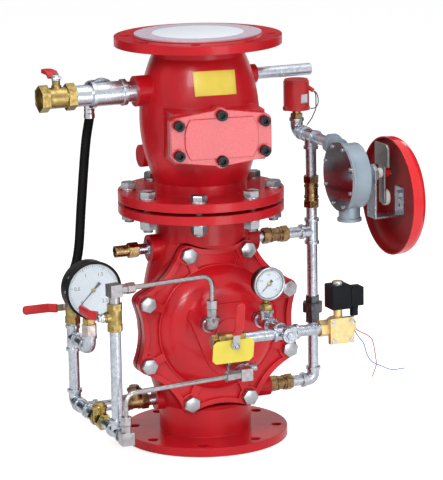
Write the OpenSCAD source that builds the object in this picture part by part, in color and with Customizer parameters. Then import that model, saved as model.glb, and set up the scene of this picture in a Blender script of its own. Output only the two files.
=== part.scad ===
// Preaction valve station: a diaphragm deluge valve, a swing check valve bolted on it, and its trim.
// Origin at the centre of the inlet flange face, +Z up the flow axis, covers facing -Y.

/* [Flanges and bolting] */
// Outside diameter of all four flanges
flange_od = 340; // [330:1:350]
// Thickness of a flange with its raised face
flange_t = 20; // [18:1:22]
// Diameter of the raised sealing face
raised_d = 262; // [250:1:266]
// Height of the raised sealing face
raised_h = 2; // [1:0.5:3]
// Bolt circle diameter
bolt_pcd = 295; // [292:1:298]
// Bolt hole diameter
bolt_hole_d = 22; // [21.5:0.5:24]
// Thread diameter of the flange and cover bolts
bolt_d = 20; // [18:1:20]
// Width across flats of the bolt heads and nuts
bolt_af = 30; // [28:1:31]
// Height of a bolt head
head_h = 12.5; // [11:0.5:14]
// Height of a nut
nut_h = 16; // [14:0.5:18]
// Washer diameter
washer_d = 34; // [33:1:36]
// Washer thickness
washer_t = 3; // [2:0.5:3.5]
// Flange gasket thickness
gasket_t = 3; // [2:0.5:4]

/* [Deluge valve] */
// Face to face height
deluge_h = 500; // [490:1:520]
// Outside diameter of the necks
neck_od = 190; // [184:1:200]
// Casting wall at the necks
neck_wall = 10; // [8:0.5:14]
// Largest outside diameter of the barrel
deluge_belly_d = 256; // [240:1:270]
// Height of the diaphragm centre
cover_z = 250; // [245:1:255]
// Distance from the flow axis to the diaphragm joint
joint_y = 60; // [56:1:66]
// Thickness of the body's cover flange
rim_t = 16; // [14:1:20]
// Diaphragm thickness
diaphragm_t = 6; // [5:0.5:8]
// Thickness of the cover plate
cover_t = 16.5; // [14:0.5:20]
// Radius of the cover bolt circle
cover_bolt_r = 168; // [166:1:172]
// Radius of the boss round each cover bolt
cover_lobe_r = 19; // [18.5:0.5:21]
// Radius of the cover outline halfway between two bolts
cover_waist_r = 162; // [160:0.5:165]
// Radius of the foot of the cover dome
dome_r = 129; // [124:1:132]
// Height of the dome above the cover plate
dome_h = 34; // [30:1:38]
// Seat bore diameter
seat_d = 136; // [120:1:140]
// Height of the lower side ports
low_port_z = 90; // [86:1:94]
// Distance of the upper side ports below the upper face
high_port_drop = 91; // [86:1:96]
// Diameter of the upper side bosses
high_boss_d = 56; // [50:1:60]
// Diameter of the lower side bosses
low_boss_d = 44; // [38:1:48]

/* [Check valve] */
// Face to face height
check_h = 338; // [330:1:350]
// Largest outside diameter of the barrel
check_belly_d = 244; // [230:1:256]
// Turn of the cover block towards the left
block_turn = 7.8; // [6:0.2:10]
// Height of the cover block centre above the lower face
block_dz = 153; // [150:1:156]
// Width of the cover block
block_w = 186; // [180:1:190]
// Height of the cover block
block_h = 100; // [94:1:106]
// Distance from the flow axis to the block's joint face
block_y = 158; // [154:1:162]
// Thickness of the check valve cover
check_cover_t = 17; // [14:1:20]
// Sideways distance of the corner screws from the cover centre
screw_u = 87.5; // [86:0.5:88]
// Height of the corner screws from the cover centre
screw_v = 30; // [28:0.5:32]
// Height of the two middle screws from the cover centre
screw_mid_v = 46; // [45:0.5:48]
// Diameter of the socket screw heads
screw_head_d = 21; // [19:0.5:22]
// Clapper diameter
clapper_d = 156; // [150:1:160]
// Diameter of the fill branch boss
fill_boss_d = 62; // [58:1:66]
// Diameter of the test pipe boss
test_boss_d = 39; // [34:1:44]
// Diameter of the hinge pin bosses
pin_boss_d = 46; // [40:1:50]

/* [Trim pipe] */
// Outside diameter of the half inch trim pipe
pipe_od = 22.6; // [21:0.1:23]
// Bore of the half inch trim pipe
pipe_id = 16; // [14:0.1:17]
// Centre to face length of a half inch fitting
fit_cf = 27; // [26:0.5:28]
// Outside radius of a fitting's bead
bead_r = 15.6; // [15:0.1:16.5]
// Outside radius of a fitting's body
arm_r = 13.2; // [12.8:0.1:13.8]
// Width of a fitting's bead
bead_w = 6; // [5:0.5:7]
// Depth to which a pipe is screwed in
screw_in = 12; // [10:0.5:13]
// Radial gap left between a pipe and its socket
thread_gap = 0.1; // [0.05:0.05:0.15]
// Outside diameter of the fill branch pipe
fill_od = 42; // [40:0.5:43]
// Bore of the fill branch pipe
fill_id = 35; // [32:0.5:36]
// Outside diameter of the stainless sensing tubes
tube_od = 10; // [9:0.5:11]
// Bend radius at the centre of the sensing tubes
tube_bend = 22; // [18:1:26]

/* [Trim layout] */
// Distance of the riser from the flow axis
riser_x = 248; // [246:1:252]
// Height of the line to the water motor
motor_line_z = 610; // [606:1:614]
// Distance of the pressure switch behind the flow axis
switch_y = 70; // [66:1:74]
// Distance of the left run from the flow axis
run_x = 265; // [263:1:268]
// Distance of the back stack behind the flow axis
back_y = 58; // [56:1:62]
// Distance of the front pipe before the flow axis
front_y = 190; // [188:1:196]
// Height of the fill branch above the check valve's lower face
fill_dz = 231; // [229:1:235]
// Height of the test pipe above the check valve's lower face
test_dz = 247; // [245:1:251]
// Sideways place of the cover's main port
port_x = 66; // [62:1:70]
// Height of the cover's main port
port_z = 271; // [268:1:274]
// Distance of the gauge tee from the flow axis
gauge_tee_y = 172; // [168:1:176]
// Distance of the cross from the flow axis
cross_y = 265; // [262:1:270]

/* [Small ball valves] */
// Length of a small ball valve
small_valve_l = 56; // [52:1:60]
// Width across flats of its ends
small_valve_af = 28; // [27:0.5:30]
// Radius of its barrel
small_barrel_r = 14.4; // [14.2:0.1:15.5]
// Radius of its ball
small_ball_r = 11.5; // [11:0.1:12]
// Length of its lever
small_lever_l = 89; // [84:1:96]
// Height of its lever above the barrel
small_lever_z = 13; // [12:0.5:16]
// Width of its lever
small_lever_w = 14; // [12:0.5:16]

/* [Fill valve] */
// Length of the fill valve
fill_valve_l = 74; // [72:1:80]
// Width across flats of its ends
fill_valve_af = 48; // [47:0.5:50]
// Radius of its barrel
fill_barrel_r = 21; // [20.5:0.1:22]
// Radius of its ball
fill_ball_r = 17; // [16:0.1:17.5]
// Length of its lever
fill_lever_l = 59; // [55:1:66]
// Height of its lever above the barrel
fill_lever_z = 18; // [15:0.5:20]
// Width of its lever
fill_lever_w = 19; // [17:0.5:21]

/* [Gauges] */
// Case diameter of the large gauge
big_gauge_d = 118; // [114:1:122]
// Case depth of the large gauge
big_gauge_t = 47; // [44:1:50]
// Height of the large gauge centre
big_gauge_z = 353; // [351:1:358]
// Case diameter of the small gauge
small_gauge_d = 68; // [64:1:70]
// Case depth of the small gauge
small_gauge_t = 32; // [28:1:36]
// Height of the small gauge centre
small_gauge_z = 355; // [353:1:358]

/* [Water motor and gong] */
// Diameter of the turbine housing
motor_d = 140; // [136:1:144]
// Depth of the turbine housing
motor_t = 42; // [38:1:46]
// Distance of the housing's front plate from the flow axis
motor_x = 226; // [222:1:230]
// Distance of the motor shaft before the flow axis
motor_y = 177; // [172:1:182]
// Height of the motor shaft
motor_z = 556; // [552:1:560]
// Diameter of the gong
gong_d = 242; // [236:1:244]
// Depth of the gong
gong_t = 34; // [32:1:38]
// Gong sheet thickness
gong_wall = 3; // [2:0.5:3.5]
// Distance of the gong centre below the motor shaft
gong_drop = 49; // [47:1:50]
// Distance of the gong's rim plane from the flow axis
gong_x = 336; // [333:1:340]
// Distance from the shaft to the striker centre
striker_r = 51; // [49:1:52]
// Diameter of the striker
striker_d = 34; // [32:1:35]

/* [Pressure switch] */
// Diameter of the switch housing
switch_d = 54; // [52:1:58]
// Height of the switch housing
switch_h = 64; // [60:1:68]

/* [Solenoid valve] */
// Distance of the solenoid valve from the flow axis
solenoid_x = 180; // [176:1:186]
// Width of the brass body plate
solenoid_w = 52; // [48:1:56]
// Side of the coil
coil_w = 42; // [40:1:46]
// Height of the coil
coil_h = 48; // [44:1:54]

/* [Hidden] */
$fn = 48;

// Clearances
run_gap = 0.06;
seat_gap = 0.3;
eps = 0.5;

// Flange bolting, all four circles turned alike
bolt_count = 8;
hole_turn = -1.5;
neck_r = neck_od / 2;
port_r = neck_r - neck_wall;
check_z0 = deluge_h + gasket_t;
outlet_z = check_z0 + check_h;
block_z = check_z0 + block_dz;
fill_z = check_z0 + fill_dz;
test_z = check_z0 + test_dz;
high_port_z = deluge_h - high_port_drop;

// Deluge cover stack, all measured towards -Y
cover_back_y = joint_y + diaphragm_t;
cover_face_y = cover_back_y + cover_t;
port_face_y = cover_face_y + 40;

red = [0.75, 0.08, 0.09];
zinc = [0.72, 0.74, 0.76];
brass = [0.80, 0.66, 0.30];
steel = [0.78, 0.79, 0.80];
black = [0.07, 0.07, 0.08];

// Frames: local +Z is laid along +X, -Y or +Y
module to_x() { rotate([0, 90, 0]) children(); }
module to_front() { rotate([90, 0, 0]) children(); }
module to_back() { rotate([-90, 0, 0]) children(); }
// Local +X stays, local +Z points to the front, at the deluge cover's centre
module on_deluge_front() { translate([0, 0, cover_z]) to_front() children(); }
// The check valve's cover frame, u along X, v up, +Z out of the cover
module on_check_front() { translate([0, 0, block_z]) rotate([0, 0, -block_turn]) to_front() children(); }
// Bolt holes that straddle the front centre line, turned by a given angle
module on_circle(n, r, turn = 0) {
    for (i = [0:n - 1]) rotate([0, 0, turn + 360 / n * (i + 0.5)]) translate([0, -r, 0]) children();
}
module tube(l, od, id) {
    difference() {
        cylinder(d = od, h = l);
        translate([0, 0, -eps]) cylinder(d = id, h = l + 2 * eps);
    }
}
// A hexagon bar along +Z, given across its flats
module hex(af, h) { cylinder(r = af / sqrt(3), h = h, $fn = 6); }
// A flange whose raised face lies at z = 0
module flange() {
    cylinder(d = raised_d, h = raised_h + eps);
    translate([0, 0, raised_h]) cylinder(d = flange_od, h = flange_t - raised_h);
}
// A barrel of revolution that bulges between two necks, as a 2D profile
module barrel_profile(h, r, belly_r, half) {
    rise = belly_r - r;
    arc_r = (half * half + rise * rise) / (2 * rise);
    square([r, h]);
    intersection() {
        translate([belly_r - arc_r, h / 2]) circle(r = arc_r, $fn = 96);
        translate([0, h / 2 - half]) square([belly_r + 1, 2 * half]);
    }
}

// Lobed outline of the deluge cover, diaphragm and body rim
module cover_outline() {
    k = cover_waist_r - cover_lobe_r;
    far = (pow(cover_bolt_r, 2) - k * k) / (2 * (cover_bolt_r * cos(22.5) - k));
    cut_r = far - cover_waist_r;
    bx = cover_bolt_r * cos(22.5);
    by = cover_bolt_r * sin(22.5);
    reach = cut_r + cover_lobe_r;
    tx = bx + cover_lobe_r * (far - bx) / reach;
    ty = by - cover_lobe_r * by / reach;
    difference() {
        union() {
            polygon([for (i = [0:7], s = [-1, 1])
                let (a = 45 * i) [tx * cos(a) - s * ty * sin(a), tx * sin(a) + s * ty * cos(a)]]);
            for (i = [0:7]) rotate(45 * i) translate([bx, by]) circle(r = cover_lobe_r);
        }
        for (i = [0:7]) rotate(45 * i) translate([far, 0]) circle(r = cut_r, $fn = 96);
    }
}
module cover_holes(h, d = bolt_hole_d) {
    for (i = [0:7]) rotate([0, 0, 22.5 + 45 * i]) translate([cover_bolt_r, 0, -eps])
        cylinder(d = d, h = h + 2 * eps);
}

// A tapped hole for a half inch pipe, from the axis to a boss face at z = l
module port_bore(l) {
    cylinder(d = pipe_id, h = l + eps);
    translate([0, 0, l - screw_in]) cylinder(d = pipe_od + 2 * thread_gap, h = screw_in + eps);
}

// Cast body with its through flow path, diaphragm seat wall and side ports
boss_out = 118;
low_left_out = 112;
low_right_out = 144;
seat_wall_y = 12;
chamber_r = 112;
chamber_back_y = 24;
module deluge_body() {
    color(red) difference() {
        union() {
            flange();
            translate([0, 0, deluge_h]) mirror([0, 0, 1]) flange();
            rotate_extrude() barrel_profile(deluge_h, neck_r, deluge_belly_d / 2, 172);
            translate([0, -19, cover_z]) sphere(r = 144);
            on_deluge_front() translate([0, 0, -20]) cylinder(r = 138, h = joint_y + 20 - rim_t / 2);
            on_deluge_front() translate([0, 0, joint_y - rim_t]) linear_extrude(rim_t) cover_outline();
            for (s = [-1, 1]) translate([0, 0, high_port_z]) rotate([0, s * 90, 0])
                cylinder(d = high_boss_d, h = boss_out);
            translate([0, 0, low_port_z]) rotate(LEFT) cylinder(d = low_boss_d, h = low_left_out);
            translate([0, 0, low_port_z]) rotate(RIGHT) cylinder(d = low_boss_d, h = low_right_out);
        }
        on_circle(bolt_count, bolt_pcd / 2, hole_turn) translate([0, 0, -eps])
            cylinder(d = bolt_hole_d, h = flange_t + 2 * eps);
        translate([0, 0, deluge_h - flange_t]) on_circle(bolt_count, bolt_pcd / 2, hole_turn)
            translate([0, 0, -eps]) cylinder(d = bolt_hole_d, h = flange_t + 2 * eps);
        on_deluge_front() translate([0, 0, joint_y - rim_t]) cover_holes(rim_t, bolt_d + 2 * thread_gap);
        // Inlet way: up from the inlet face and forward through the seat
        translate([0, 0, -eps]) cylinder(r = port_r, h = 122);
        intersection() {
            rotate_extrude() barrel_profile(deluge_h, port_r, deluge_belly_d / 2 - 16, 172);
            translate([-130, seat_wall_y - chamber_back_y, 110]) cube([260, 130, 216]);
        }
        on_deluge_front() cylinder(d = seat_d, h = joint_y);
        on_deluge_front() translate([0, 0, joint_y]) linear_extrude(110) scale(1.02) cover_outline();
        // Outlet way: the chamber round the seat ring and up to the outlet face
        on_deluge_front() translate([0, 0, chamber_back_y]) cylinder(r = chamber_r, h = joint_y);
        translate([0, 0, 342]) cylinder(r = port_r, h = deluge_h);
        for (s = [-1, 1]) translate([0, 0, high_port_z]) rotate([0, s * 90, 0]) port_bore(boss_out);
        translate([0, 0, low_port_z]) rotate(LEFT) port_bore(low_left_out);
        translate([0, 0, low_port_z]) rotate(RIGHT) port_bore(low_right_out);
    }
}

// Bronze ring that the diaphragm seals on, screwed into the seat wall
module seat_ring() {
    color(brass) on_deluge_front() translate([0, 0, chamber_back_y])
        tube(joint_y - chamber_back_y - seat_gap, seat_d + 24, seat_d);
}

module diaphragm() {
    color(black) on_deluge_front() translate([0, 0, joint_y]) difference() {
        linear_extrude(diaphragm_t) cover_outline();
        cover_holes(diaphragm_t);
    }
}

// Clamp plate that carries the middle of the diaphragm and slides towards the cover
disc_t = 8;
module diaphragm_disc() {
    color(steel) on_deluge_front() translate([0, 0, cover_back_y + seat_gap]) {
        cylinder(d = seat_d - 8, h = disc_t);
        cylinder(d = 22, h = disc_t + 10);
    }
}

// Closing spring between the clamp plate and the inside of the cover
spring_d = 46;
spring_wire = 4;
spring_turns = 5;
cavity_top_y = cover_face_y + 25;
module diaphragm_spring() {
    y0 = cover_back_y + seat_gap + disc_t + spring_wire / 2 + 0.2;
    rise = cavity_top_y - spring_wire / 2 - 0.2 - y0;
    steps = 16 * spring_turns;
    coil = [for (i = [0:steps])
        [spring_d / 2 * cos(22.5 * i), spring_d / 2 * sin(22.5 * i), y0 + rise * i / steps]];
    color(steel) on_deluge_front() hose_tube(coil, spring_wire / 2, 8, [0, 0, 1]);
}

// Places of the three ports on the deluge cover, as x and z
ports = [[port_x, port_z], [-46, 272], [4, 180]];
// Pockets between the cover's ribs, cast in behind its outer rim
pocket_deep = 8;
rib_w = 17;
module cover_pockets() {
    difference() {
        scale(0.93) cover_outline();
        circle(r = dome_r + 2);
        for (i = [0:7]) rotate(22.5 + 45 * i) {
            translate([cover_bolt_r, 0]) circle(r = cover_lobe_r + 2.5);
            translate([dome_r - 10, -rib_w / 2]) square([cover_bolt_r - dome_r, rib_w]);
        }
    }
}
module port_pad() {
    polygon([
        [-84, 34], [-77, 50], [-49, 57], [66, 57], [88, 40], [90, 0], [44, -72], [30, -88], [-20, -88],
        [-38, -70], [-47, -50], [-76, 22]
    ]);
}
module deluge_cover() {
    shoulder = 60;
    drop = shoulder - dome_h;
    top_r = dome_r - sqrt(shoulder * shoulder - drop * drop);
    color(red) on_deluge_front() difference() {
        union() {
            translate([0, 0, cover_back_y]) linear_extrude(cover_t) cover_outline();
            translate([0, 0, cover_face_y - 1]) rotate_extrude() {
                square([top_r, dome_h + 1]);
                intersection() {
                    translate([top_r, 1 - drop]) circle(r = shoulder, $fn = 96);
                    translate([top_r - 1, 0]) square([80, 60]);
                }
            }
            translate([0, 0, cover_face_y]) linear_extrude(port_face_y - cover_face_y) port_pad();
            translate([6, -4, cover_face_y]) cylinder(r = 30, h = port_face_y - cover_face_y + 3);
        }
        translate([0, 0, cover_face_y - pocket_deep]) linear_extrude(pocket_deep + 1) cover_pockets();
        translate([0, 0, cover_back_y - eps]) cylinder(r = dome_r - 19, h = cover_t + eps);
        translate([0, 0, cover_face_y - 1]) cylinder(r = 66, h = cavity_top_y - cover_face_y + 1);
        translate([0, 0, cover_back_y]) cover_holes(cover_t);
        for (p = ports) translate([p[0], p[1] - cover_z, cover_face_y - 2]) {
            cylinder(d = pipe_id, h = 60);
            translate([0, 0, port_face_y - cover_face_y - screw_in + 2])
                cylinder(d = pipe_od + 2 * thread_gap, h = screw_in + eps);
        }
    }
}

module cover_bolts() {
    shank = rim_t + diaphragm_t + cover_t - 2;
    color(zinc) on_deluge_front() for (i = [0:7]) rotate([0, 0, 22.5 + 45 * i])
        translate([cover_bolt_r, 0, cover_face_y]) {
            hex(bolt_af, head_h);
            translate([0, 0, -shank]) cylinder(d = bolt_d, h = shank + eps);
        }
}
// A nut that sits on its bolt with the thread gap round it
module hex_nut() {
    difference() {
        hex(bolt_af, nut_h);
        translate([0, 0, -eps]) cylinder(d = bolt_d + 2 * thread_gap, h = nut_h + 2 * eps);
    }
}

module gaskets() {
    color(black) translate([0, 0, deluge_h]) difference() {
        cylinder(d = raised_d, h = gasket_t);
        translate([0, 0, -eps]) cylinder(r = port_r, h = gasket_t + 2 * eps);
    }
    color(black) on_check_front() translate([0, 0, block_y]) difference() {
        linear_extrude(1.5) check_cover_outline();
        translate([0, 0, -eps]) linear_extrude(1.5 + 2 * eps) block_window();
        check_screw_places() translate([0, 0, -eps]) cylinder(d = 13, h = 1.5 + 2 * eps);
    }
}

// Studs through both middle flanges: head and washer on top, washer and nut below
module flange_bolts() {
    grip = 2 * flange_t + gasket_t;
    color(zinc) translate([0, 0, deluge_h - flange_t]) on_circle(bolt_count, bolt_pcd / 2, hole_turn) {
        translate([0, 0, -washer_t - nut_h - 6])
            cylinder(d = bolt_d, h = grip + 2 * washer_t + nut_h + 6 + eps);
        translate([0, 0, grip + washer_t]) hex(bolt_af, head_h);
        translate([0, 0, -washer_t]) tube(washer_t, washer_d, bolt_d + 2 * thread_gap);
        translate([0, 0, grip]) tube(washer_t, washer_d, bolt_d + 2 * thread_gap);
        translate([0, 0, -washer_t - nut_h]) hex_nut();
    }
}

// Outline of the check valve's cover and block face
module check_cover_outline() {
    lobe = 15;
    for (s = [-1, 1], t = [-1, 1]) translate([s * screw_u, t * screw_v]) circle(r = lobe);
    for (t = [-1, 1]) translate([0, t * screw_mid_v]) circle(r = lobe);
    polygon([
        [-screw_u - lobe, -screw_v], [-screw_u, -screw_v - lobe], [-lobe, -screw_mid_v - lobe * 0.6],
        [lobe, -screw_mid_v - lobe * 0.6], [screw_u, -screw_v - lobe], [screw_u + lobe, -screw_v],
        [screw_u + lobe, screw_v], [screw_u, screw_v + lobe], [lobe, screw_mid_v + lobe * 0.6],
        [-lobe, screw_mid_v + lobe * 0.6], [-screw_u, screw_v + lobe], [-screw_u - lobe, screw_v]
    ]);
}
module check_screw_places() {
    for (s = [-1, 1], t = [-1, 1]) translate([s * screw_u, t * screw_v, 0]) children();
    for (t = [-1, 1]) translate([0, t * screw_mid_v, 0]) children();
}
window_w = 144;
window_h = 62;
module block_window() { square([window_w, window_h], center = true); }

// Cast body of the swing check valve with its cover block and branch bosses
fill_boss_x = 140;
test_boss_x = 124;
clapper_z = check_z0 + 60;
pin_y = 80;
pin_z = clapper_z + 26;
pin_r = 7;
pin_half = 56;
module check_body() {
    color(red) difference() {
        union() {
            translate([0, 0, check_z0]) {
                flange();
                translate([0, 0, check_h]) mirror([0, 0, 1]) flange();
                rotate_extrude() barrel_profile(check_h, neck_r, check_belly_d / 2, 128);
            }
            on_check_front() {
                translate([-block_w / 2, -block_h / 2, 0]) cube([block_w, block_h, block_y]);
                translate([0, 0, block_y - 14]) linear_extrude(14) check_cover_outline();
            }
            translate([-fill_boss_x, 0, fill_z]) to_x() cylinder(d = fill_boss_d, h = fill_boss_x);
            translate([0, 0, test_z]) to_x() cylinder(d = test_boss_d, h = test_boss_x);
            translate([-108, pin_y - 18, pin_z]) to_x() cylinder(d = pin_boss_d, h = 60);
            translate([48, pin_y - 18, pin_z]) to_x() cylinder(d = pin_boss_d, h = 56);
        }
        translate([0, 0, check_z0]) on_circle(bolt_count, bolt_pcd / 2, hole_turn)
            translate([0, 0, -eps]) cylinder(d = bolt_hole_d, h = flange_t + 2 * eps);
        translate([0, 0, outlet_z - flange_t]) on_circle(bolt_count, bolt_pcd / 2, hole_turn)
            translate([0, 0, -eps]) cylinder(d = bolt_hole_d, h = flange_t + 2 * eps);
        translate([0, 0, check_z0 - eps]) cylinder(r = clapper_d / 2 - 8, h = check_h + 2 * eps);
        translate([0, 0, clapper_z]) cylinder(r = 98, h = 170);
        translate([0, 0, clapper_z]) cylinder(r = port_r, h = check_h);
        on_check_front() linear_extrude(block_y + eps) block_window();
        on_check_front() translate([0, 0, block_y - 24]) check_screw_places()
            cylinder(d = 12.2, h = 24 + eps);
        translate([-fill_boss_x - eps, 0, fill_z]) to_x() cylinder(d = fill_id, h = fill_boss_x);
        translate([-fill_boss_x - eps, 0, fill_z]) to_x()
            cylinder(d = fill_od + 2 * thread_gap, h = 18 + eps);
        translate([0, 0, test_z]) to_x() cylinder(d = pipe_id, h = test_boss_x + eps);
        translate([test_boss_x - screw_in, 0, test_z]) to_x()
            cylinder(d = test_od - thread_h + 2 * thread_gap, h = screw_in + eps);
        translate([-pin_half - 12, pin_y, pin_z]) to_x()
            cylinder(r = pin_r + thread_gap, h = 2 * pin_half + 24);
    }
}

module check_cover() {
    color(red) on_check_front() translate([0, 0, block_y + 1.5]) difference() {
        union() {
            linear_extrude(check_cover_t - 4) check_cover_outline();
            translate([0, 0, check_cover_t - 5]) linear_extrude(5) intersection() {
                square([2 * screw_u - 26, 2 * screw_v + 20], center = true);
                circle(r = screw_u - 12, $fn = 96);
            }
            check_screw_places() cylinder(d = 27, h = check_cover_t - 4 + 1);
        }
        check_screw_places() {
            translate([0, 0, -eps]) cylinder(d = 13, h = check_cover_t + 2 * eps);
            translate([0, 0, check_cover_t - 3]) cylinder(d = screw_head_d + 2, h = 4);
        }
    }
}

// Black socket head screws of the check valve's cover
module cover_screws() {
    color(black) on_check_front() translate([0, 0, block_y + 1.5 + check_cover_t - 3])
        check_screw_places() difference() {
            union() {
                cylinder(d = screw_head_d, h = 12);
                translate([0, 0, -34]) cylinder(d = 12, h = 34 + eps);
            }
            translate([0, 0, 5]) hex(10, 8);
        }
}

// Clapper disc with its arm and the eye that swings on the hinge pin
eye_r = 13;
module clapper() {
    color(brass) difference() {
        union() {
            translate([0, 0, clapper_z + seat_gap]) cylinder(d = clapper_d, h = 10);
            translate([-12, -30, clapper_z + seat_gap + 9]) cube([24, 30 + pin_y, 12]);
            translate([-26, pin_y, pin_z]) to_x() cylinder(r = eye_r, h = 52);
            translate([-12, pin_y - 12, clapper_z + seat_gap + 9]) cube([24, 16, pin_z - clapper_z - 9]);
        }
        translate([-30, pin_y, pin_z]) to_x() cylinder(r = pin_r + run_gap, h = 60);
    }
}
module hinge_pin() {
    color(steel) translate([-pin_half - 11, pin_y, pin_z]) to_x() cylinder(r = pin_r, h = 2 * pin_half + 22);
}

// Protecting disc that closes the outlet face
module outlet_disc() {
    color(steel) translate([0, 0, outlet_z]) {
        cylinder(d = raised_d - 4, h = 3);
    }
}

// Fittings: a size is [pipe od, arm radius, bead radius, bead width, centre to face, screw in, bore]
half_inch = [pipe_od, arm_r, bead_r, bead_w, fit_cf, screw_in, pipe_id];
fill_size = [fill_od, 24, 27, 8, 37, 16, fill_id];
module arm(s) {
    cylinder(r = s[1], h = s[4]);
    translate([0, 0, s[4] - s[3]]) cylinder(r = s[2], h = s[3]);
}
module arm_bore(s) {
    cylinder(d = s[6], h = s[4] + eps);
    translate([0, 0, s[4] - s[5]]) cylinder(d = s[0] + 2 * thread_gap, h = s[5] + eps);
}
// Directions of the arms, as the rotations that lay +Z along them
UP = [0, 0, 0];
DOWN = [180, 0, 0];
RIGHT = [0, 90, 0];
LEFT = [0, -90, 0];
FRONT = [90, 0, 0];
BACK = [-90, 0, 0];
module fitting(s, arms) {
    difference() {
        union() for (a = arms) rotate(a) arm(s);
        for (a = arms) rotate(a) arm_bore(s);
    }
}
// An elbow with arms along local +Z and +X, and a round heel
module elbow(s) {
    heel = s[1] + 1;
    difference() {
        union() {
            translate([0, 0, heel]) arm([s[0], s[1], s[2], s[3], s[4] - heel]);
            translate([heel, 0, 0]) to_x() arm([s[0], s[1], s[2], s[3], s[4] - heel]);
            translate([heel, 0, heel]) rotate([90, 0, 0]) rotate([0, 0, 180])
                rotate_extrude(angle = 90) translate([heel, 0]) circle(r = s[1]);
        }
        arm_bore(s);
        to_x() arm_bore(s);
    }
}
module pipe(s, l) { tube(l, s[0], s[6]); }
// A pipe that joins two fitting faces a given distance apart, screwed in at both ends
module joining_pipe(s, gap) {
    translate([0, 0, -s[5] + 0.5]) pipe(s, gap + 2 * s[5] - 1);
}

// Fill branch: stub, tee with its rear bush and elbow, and nipple
fill_tee_x = -197;
fill_valve_x = -305;
hose_top = [fill_tee_x, 110, fill_z];
fill_bush_y = 37;
module fill_pipework() {
    color(zinc) {
        stub = -fill_boss_x - (fill_tee_x + fill_size[4]);
        translate([fill_tee_x + fill_size[4], 0, fill_z]) to_x() translate([0, 0, -15.5])
            pipe(fill_size, stub + 15.5 + 17.5);
        translate([fill_tee_x, 0, fill_z]) fitting(fill_size, [RIGHT, LEFT, BACK]);
        reach = fill_tee_x - fill_size[4] - (fill_valve_x + fill_valve_l / 2);
        translate([fill_valve_x + fill_valve_l / 2, 0, fill_z]) to_x() translate([0, 0, -13])
            pipe(fill_size, reach + 13 + 15.5);
        translate([fill_tee_x, fill_bush_y, fill_z]) to_back() {
            difference() {
                union() {
                    translate([0, 0, -15.5]) cylinder(d = fill_od, h = 16);
                    hex(44, 8);
                }
                translate([0, 0, -16]) cylinder(d = pipe_od + 2 * thread_gap, h = 40);
            }
        }
        translate([fill_tee_x, fill_bush_y - 12, fill_z]) to_back()
            tube(hose_top[1] - fit_cf - fill_bush_y + 23.5, pipe_od, pipe_id);
        translate(hose_top) rotate([180, 0, -90]) elbow(half_inch);
    }
}

// Black hose held at both ends, with its chrome ferrules
hose_d = 19;
hose_route = [
    [-197.5, 110, 668], [-200, 110, 655], [-206, 107, 630], [-212, 102, 600], [-219, 95, 560],
    [-226, 87, 520], [-233, 79, 480], [-238.5, 72, 445], [-244.5, 66, 410], [-253, 61, 380],
    [-261, 58, 362], [-265, 58, 348]
];
module drain_hose() {
    color(black) hose_tube(hose_route, hose_d / 2, 12);
    color(steel) translate([fill_tee_x, hose_top[1], 0]) {
        ferrule_z = hose_route[0][2] + seat_gap;
        translate([0, 0, ferrule_z]) cylinder(d = 23, h = fill_z - fit_cf - ferrule_z - 6);
        translate([0, 0, fill_z - fit_cf - 6]) cylinder(d = pipe_od, h = 16);
    }
    color(steel) translate([-run_x, back_y, back_valve_z + small_valve_l / 2]) {
        translate([0, 0, -11]) cylinder(d = pipe_od, h = 14);
        translate([0, 0, 3]) hex(24, 8);
        hose_low_z = hose_route[len(hose_route) - 1][2] - seat_gap;
        translate([0, 0, 11]) cylinder(d = 23, h = hose_low_z - 11 - back_valve_z - small_valve_l / 2);
    }
}
// A round tube swept along points that mostly go up or down or level
function unit(v) = v / norm(v);
function heading(p, i) = unit(p[min(i + 1, len(p) - 1)] - p[max(i - 1, 0)]);
function side_of(d, ref) = unit(cross(d, ref));
module hose_tube(p, r, sides, ref = [0, 1, 0.02]) {
    n = len(p);
    rings = [for (i = [0:n - 1]) let (d = heading(p, i), a = side_of(d, ref), b = cross(d, a))
        for (k = [0:sides - 1]) p[i] + r * (cos(360 * k / sides) * a + sin(360 * k / sides) * b)];
    walls = [for (i = [0:n - 2], k = [0:sides - 1]) let (m = (k + 1) % sides)
        [i * sides + k, (i + 1) * sides + k, (i + 1) * sides + m, i * sides + m]];
    first = [[for (k = [0:sides - 1]) k]];
    last = [[for (k = [sides - 1:-1:0]) (n - 1) * sides + k]];
    polyhedron(points = rings, faces = concat(first, walls, last));
}

// Open test pipe on the right of the check valve
test_od = 24;
thread_h = 2;
test_end_x = 247;
module test_pipe() {
    color(zinc) translate([test_boss_x, 0, test_z]) to_x() {
        tube(test_end_x - test_boss_x, test_od, 17);
        translate([0, 0, 0.5 - screw_in]) tube(screw_in, test_od - thread_h, 17);
    }
}

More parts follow.
